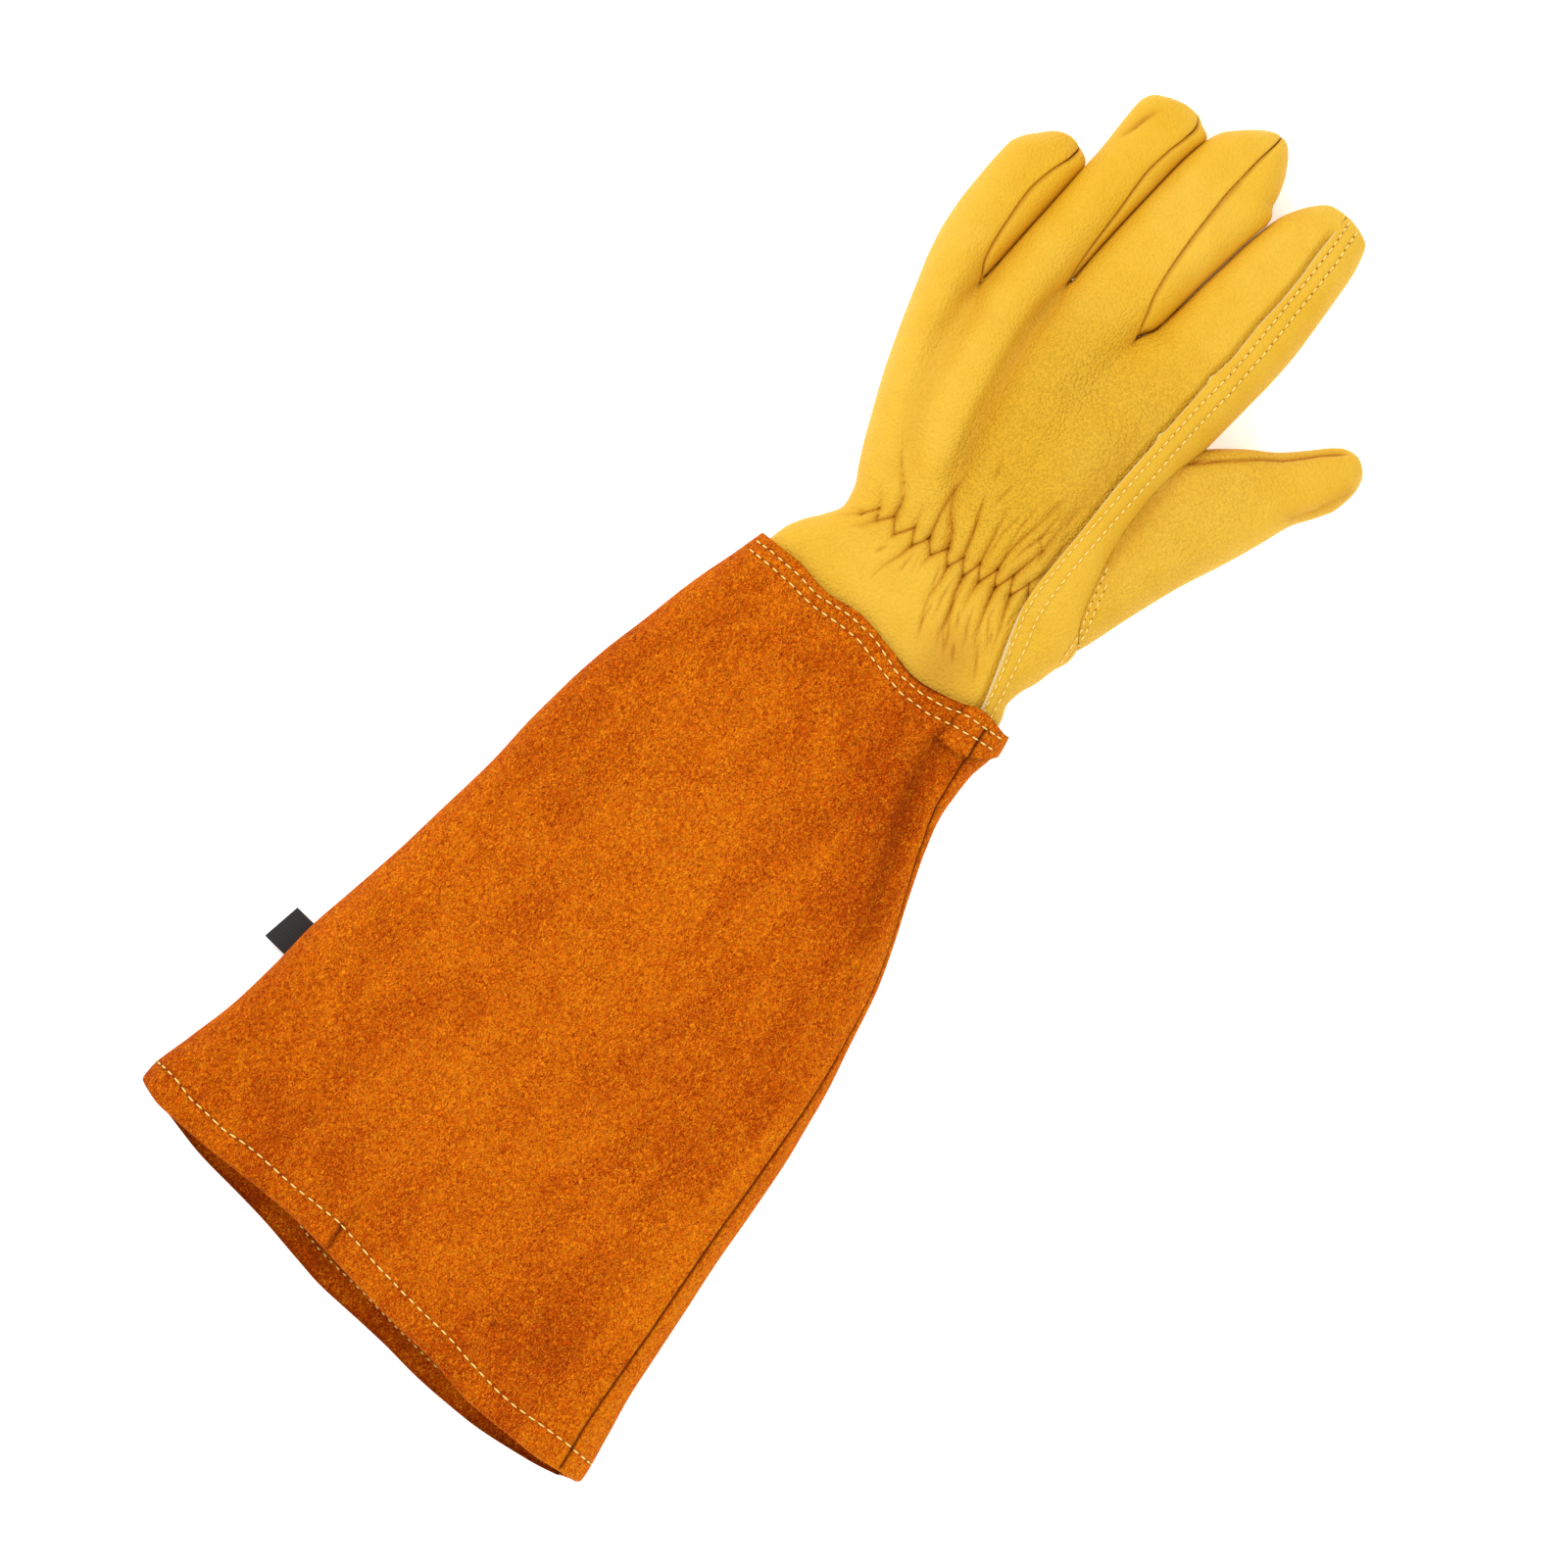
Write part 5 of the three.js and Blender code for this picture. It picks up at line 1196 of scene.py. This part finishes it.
def shapeThumb(points, normals, rim):
    x, y, z = points.T
    top = smooth(0.0, 0.45, normals[:, 2])
    near, along = towardLine(x, y, thumbSeam)
    fold, share = towardLine(x, y, thumbFold)
    sewn = top * smooth(1.0, 0.9, along)
    lift = (0.35 * hump(near, 2.2, 1.0) - 0.9 * np.exp(-(near / 0.7) ** 2)) * sewn
    lift -= 1.5 * np.exp(-fold / 1.5) * np.sin(np.clip(share * 1.2, 0.05, 1) * np.pi) * top
    # painted shade in the seam's groove and in the fold
    dark = (0.75 * np.exp(-(near / 0.4) ** 2) + 0.15 * np.exp(-near / 1.5)) * sewn
    dark += 0.35 * np.exp(-fold / 1.6) * top
    # painted shadow where the lap lies over its inner end
    dark += 0.35 * np.exp(-np.maximum(x - 39.5, 0) / 2.2) * smooth(30, 60, y) * top
    return lift, {"fold": np.clip(dark, 0, 1), "pebbled": 0.9 - 0.5 * smooth(56, 73, x)}


def handSkin(numbers, reaches):
    # sections through the hand or one finger: over the back, round the lap and home by the palm
    t, reach = np.meshgrid(np.linspace(0, 1, 33)[:-1], reaches)
    backs = [backPoint(number, t * (lap["edge"] if number == 3 else 1), reach) for number in numbers]
    fronts = [frontPoint(number, 1 - t, reach) for number in numbers[::-1]]
    return np.concatenate(backs + fronts, 1)


def makeThumb():
    quarters = np.linspace(0, 4, 97)
    stations = np.concatenate([np.linspace(0, 9, 110), np.linspace(9, 12, 26)[1:]])
    grid = thumbPoint(np.broadcast_to(quarters[None, :] % 4, (len(stations), 97)),
                      np.broadcast_to(stations[:, None], (len(stations), 97)))
    piece = makeShell("thumb_leather", [grid], grainWall, shapeThumb, flip=True, materials=[grainLeather])
    for skin in (handSkin([0, 1, 2, 3], np.linspace(9, 97, 89)), handSkin([3], np.linspace(88, 145, 58))):
        carve(piece, *closedTube(skin, seamGap))
    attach(piece, "root")
    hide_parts("thumb")
    return piece


# gauntlet

def radialPlace(share):
    y = lerp(0, -250, share)
    s = gauntletSection(y)
    return placeOf(s, s.middle + s.half - read(gauntletTable, "seamIn", y))


def ulnarPlace(share):
    s = gauntletSection(lerp(1, -245, share))
    return 2 + ulnarTurn * s.arc / s.quarter


cuffRows = dict(
    upper=[(-45, -0.6), (-40, -0.4), (-30, -0.8), (-22, -2), (-14, -1), (-10, -0.6), (-1, -1.4), (5, -3.2),
           (10, -5), (20, -5.4), (28, -4.3), (34, -2.2), (40, -1.7), (46, -1.3)],
    lower=[(-45, -3.9), (-38, -3.9), (-30, -4.3), (-21, -5.3), (-12, -4.6), (-3, -4.8), (6, -7.3), (15, -9),
           (25, -8.8), (34, -6.8), (41, -5.8), (46, -5.3)])
hemRow = [(-88, -231), (-84, -230.8), (-79, -231.5), (-73, -233), (-60, -234), (-50, -233.2), (-33, -234),
          (-17, -233.9), (-7, -235.5), (0, -236.8), (12, -238.5), (20, -239.2), (30, -240.2), (37, -241.5),
          (50, -243.5), (58, -244), (66, -243.5), (77, -243), (87, -243.7)]
innerHemRow = [(x, min(y, read(endTable, "topHem", x, "x") - 1.1)) for x, y in (
    (-24.2, -242.4), (-17, -244.6), (-10, -245.5), (0, -246.3), (17.4, -247.7), (32.3, -248.5))]
hemPleat = [(-13.6, -229), (-14.2, -233), (-14.7, -235), (-14.6, -243)]


def shapeGauntlet(points, normals, rim):
    x, y, z = points.T
    seams = rim[(rim[:, 1] < -1.5) & (rim[:, 1] > hemAt(rim[:, 0], rim[:, 2] > 8) + 1.2)]
    away = distanceTo(points, seams)
    lift = seamLift(away, 0.6, 0.6)
    top = normals[:, 2] > 0.15
    # turned-in seam allowance, a thick tab at the cuff
    tab = 32.2 + 0.06 * (y + 6), -13.2 + 0.06 * np.maximum(x - 38, 0) ** 2
    within = np.minimum(x - tab[0], (y - tab[1]) * 0.8)
    lift += np.where(z > 3, 1.4 * smooth(0, 0.9, within), 0)
    # small waves of loosely cut hide
    waves = np.sin(x / 9.7 + 1.3 * np.sin(y / 14)) * np.sin(y / 8.3 + 1.1 * np.sin(x / 12))
    lift += 0.25 * waves * smooth(0, 8, away)
    fromHem = np.maximum(y - hemAt(x, top), 0)
    lift -= 1.7 * (1 - np.sqrt(1 - np.clip(1 - fromHem / 1.8, 0, 1) ** 2))
    # painted shade in the seam groove, at the tab's border, in the fold beside the seam, along the stitch
    # rows and in the hem pleat; the scar below is a real mark
    dark = 0.8 * np.exp(-(away / 0.42) ** 2) + 0.12 * np.exp(-away / 1.6)
    dark += np.where(top, 0.5 * np.exp(-np.maximum(-within, 0) / 1.0) * (within < 0.5), 0)
    # deep fold beside the seam, below the cuff
    seamX = np.interp(-y, [8, 25, 40, 53, 68, 100], [41, 44, 49, 54, 60, 68])
    beside = smooth(-9, -16, y) * smooth(-110, -40, y)
    lift -= np.where(top, 1.3 * hump(x, seamX - 9, 3.4) * beside, 0)
    dark += np.where(top, 0.36 * hump(x, seamX - 9.5, 3.4) * beside, 0)
    for row in (*cuffRows.values(), hemRow):
        near = towardLine(x, y, row)[0]
        lift -= np.where(top, 0.45 * np.exp(-(near / 0.9) ** 2), 0)
        dark += np.where(top, 0.25 * np.exp(-(near / 0.6) ** 2), 0)
    near = towardLine(x, y, hemPleat)[0]
    lift -= np.where(top, 1.4 * np.exp(-near / 0.8), 0)
    dark += np.where(top, 0.85 * np.exp(-(near / 0.55) ** 2), 0)
    # a small scar in the hide
    dark += np.where(top, 0.9 * np.exp(-(np.hypot(x - 38, y + 229) / 0.7) ** 2), 0)
    # tone map, mostly nap brushed differently from place to place; it also holds painted shade in the hollow
    # beside the seam below the cuff and along the fold at the lower left, and painted light along the right
    # edge, which faces away from the key lamp
    brushed = 0.6 - 0.4 * hump(x, 30, 14) * hump(y, -26, 24) - 0.3 * hump(x, 45, 10) * hump(y, -60, 30)
    brushed = brushed + 0.25 * hump(x, -6, 22) * smooth(-30, -60, y) - 0.2 * smooth(-190, -226, y)
    brushed = brushed - 0.08 * smooth(30, 60, x) * smooth(-70, -110, y)
    brushed = brushed - 0.2 * hump(x, -71, 5) * smooth(-150, -225, y)
    brushed = brushed + 0.4 * smooth(-5, -2, x - seamX) * smooth(-12, -30, y)
    brushed = brushed + 0.35 * smooth(74, 78, x) * smooth(-120, -160, y)
    brushed = np.where(top, brushed + 0.35 * smooth(0, 1, within), 0.6)
    return lift, {"fold": np.clip(dark, 0, 1), "brushed": brushed}


def makeGauntlet(name, node, side):
    shares = spaced([0, 0.05, 0.93, 1], [14, 190, 26])
    gap = 0.02
    rows = []
    for share in shares:
        s = gauntletSection(lerp(1, -250, share))
        radial, ulnar, bend = float(radialPlace(share)), float(ulnarPlace(share)), s.arc / s.quarter
        trim = gap / s.quarter
        if side > 0:
            stops = [ulnar - trim, 2 - bend, max(bend, radial + 0.05), radial + trim]
            rows.append(spaced(stops, [35, 117, 21]))
        else:
            stops = [ulnar + trim, 2 + bend, 4 - bend, 4 + radial - trim]
            rows.append(spaced(stops, [13, 107, 33]))
    places = np.array(rows)
    grid = gauntletPoint(places, np.broadcast_to(shares[:, None], places.shape))

    def wall(points):
        x, y, z = points.T
        return suedeWall * (1 + 0.85 * smooth(13, 10.5, y - hemAt(x, z > 8)))

    piece = makeShell(name, [grid], wall, shapeGauntlet, flip=side > 0, materials=[splitSuede])
    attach(piece, "root")
    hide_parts(node)
    return piece


def makeLabel():
    lo, hi = (np.array(corner) * 1000 - np.array(cuffJoint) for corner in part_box("size_label"))
    us, vs = np.linspace(0, 1, 33), np.linspace(0, 1, 29)
    u, v = np.meshgrid(us, vs)
    x = lerp(hi[0], lerp(lo[0], lo[0] + 2.3, v), u)
    y = lerp(lo[1] + 0.5, hi[1] - 1.2, v) + 1.2 * (u - 0.5) * (1 - 0.2 * v)
    z = lo[2] + 0.75 + 0.25 * np.sin(u * 3) + 0 * v
    piece = makeShell("woven_tab", [np.stack([x, y, z], -1)], 0.7, flip=True, materials=[ribbon])
    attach(piece, "root")
    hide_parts("size_label")
    return piece


makeBack()
palm = makePalm()
makeFront("ring_finger_front", "ring_front", 1)
makeFront("middle_finger_front", "middle_front", 2)
for i, name in enumerate(("little_ring", "ring_middle", "middle_index")):
    makeFourchette(f"side_strip_{name}", f"fourchette_{name}", i)
thumb = makeThumb()
gauntletTop = makeGauntlet("gauntlet_upper", "gauntlet_back", 1)
gauntletUnder = makeGauntlet("gauntlet_lower", "gauntlet_palm", -1)
makeLabel()
print("panels made")

hand, thumbSide = surfaceUnder([palm]), surfaceUnder([palm, thumb])
cuff = surfaceUnder([gauntletTop, gauntletUnder])
stitchRow("lap_stitches", [lapRows["inner"], lapRows["outer"]], hand, 2.7, 2.0, 0.5, leatherHole)
stitchRow("thumb_stitches", [lapRows["thumbInner"], lapRows["thumbOuter"]], thumbSide, 2.7, 1.9, 0.46,
          leatherHole)
stitchRow("cuff_stitches", list(cuffRows.values()), cuff, 3.2, 2.3, 0.52, suedeHole)
stitchRow("hem_stitches", [hemRow], cuff, 3.3, 2.5, 0.55, suedeHole)
stitchRow("inner_hem_stitches", [innerHemRow], surfaceUnder([gauntletUnder]), 2.6, 1.4, 0.5, suedeHole)
print("stitches made")


# floor, light and camera

stage = dict(middle=(5.25, -51.5), turn=38.7, wide=0.464, lens=300)


def makeStage():
    bpy.ops.mesh.primitive_plane_add(size=8, location=(0, 0, -0.0002))
    floor = bpy.context.object
    floor.name = "floor"
    material, tree, shader = startMaterial("white paper floor")
    shader.inputs["Base Color"].default_value = linear("#ffffff")
    shader.inputs["Emission Color"].default_value = linear("#ffffff")
    shader.inputs["Emission Strength"].default_value = 0.45
    shader.inputs["Roughness"].default_value = 0.9
    floor.data.materials.append(material)
    world = bpy.data.worlds.new("soft room")
    bpy.context.scene.world = world
    world.use_nodes = True
    background = world.node_tree.nodes["Background"]
    background.inputs["Color"].default_value = (1, 1, 1, 1)
    background.inputs["Strength"].default_value = 0.86
    for name, spot, size, power in (("key", (-0.8, 0.28, 0.95), 0.7, 6.6),
                                    ("fill", (0.9, -0.5, 1.2), 1.2, 6.4)):
        light = bpy.data.lights.new(name, "AREA")
        light.size, light.energy = size, power
        lamp = bpy.data.objects.new(name, light)
        lamp.location = spot
        lamp.rotation_euler = (Vector((0, 0, 0)) - Vector(spot)).to_track_quat("-Z", "Y").to_euler()
        bpy.context.scene.collection.objects.link(lamp)
    data = bpy.data.cameras.new("camera")
    data.lens, data.sensor_width = stage["lens"], 36
    data.clip_end = 20
    camera = bpy.data.objects.new("camera", data)
    far = stage["wide"] * stage["lens"] / 36
    x, y = (middle + offset for middle, offset in zip(stage["middle"], cuffJoint))
    camera.location = (x / 1000, y / 1000, far)
    camera.rotation_euler = (0, 0, math.radians(stage["turn"]))
    bpy.context.scene.collection.objects.link(camera)
    bpy.context.scene.camera = camera
    bpy.context.scene.view_settings.view_transform = "Standard"


makeStage()
print("stage made")
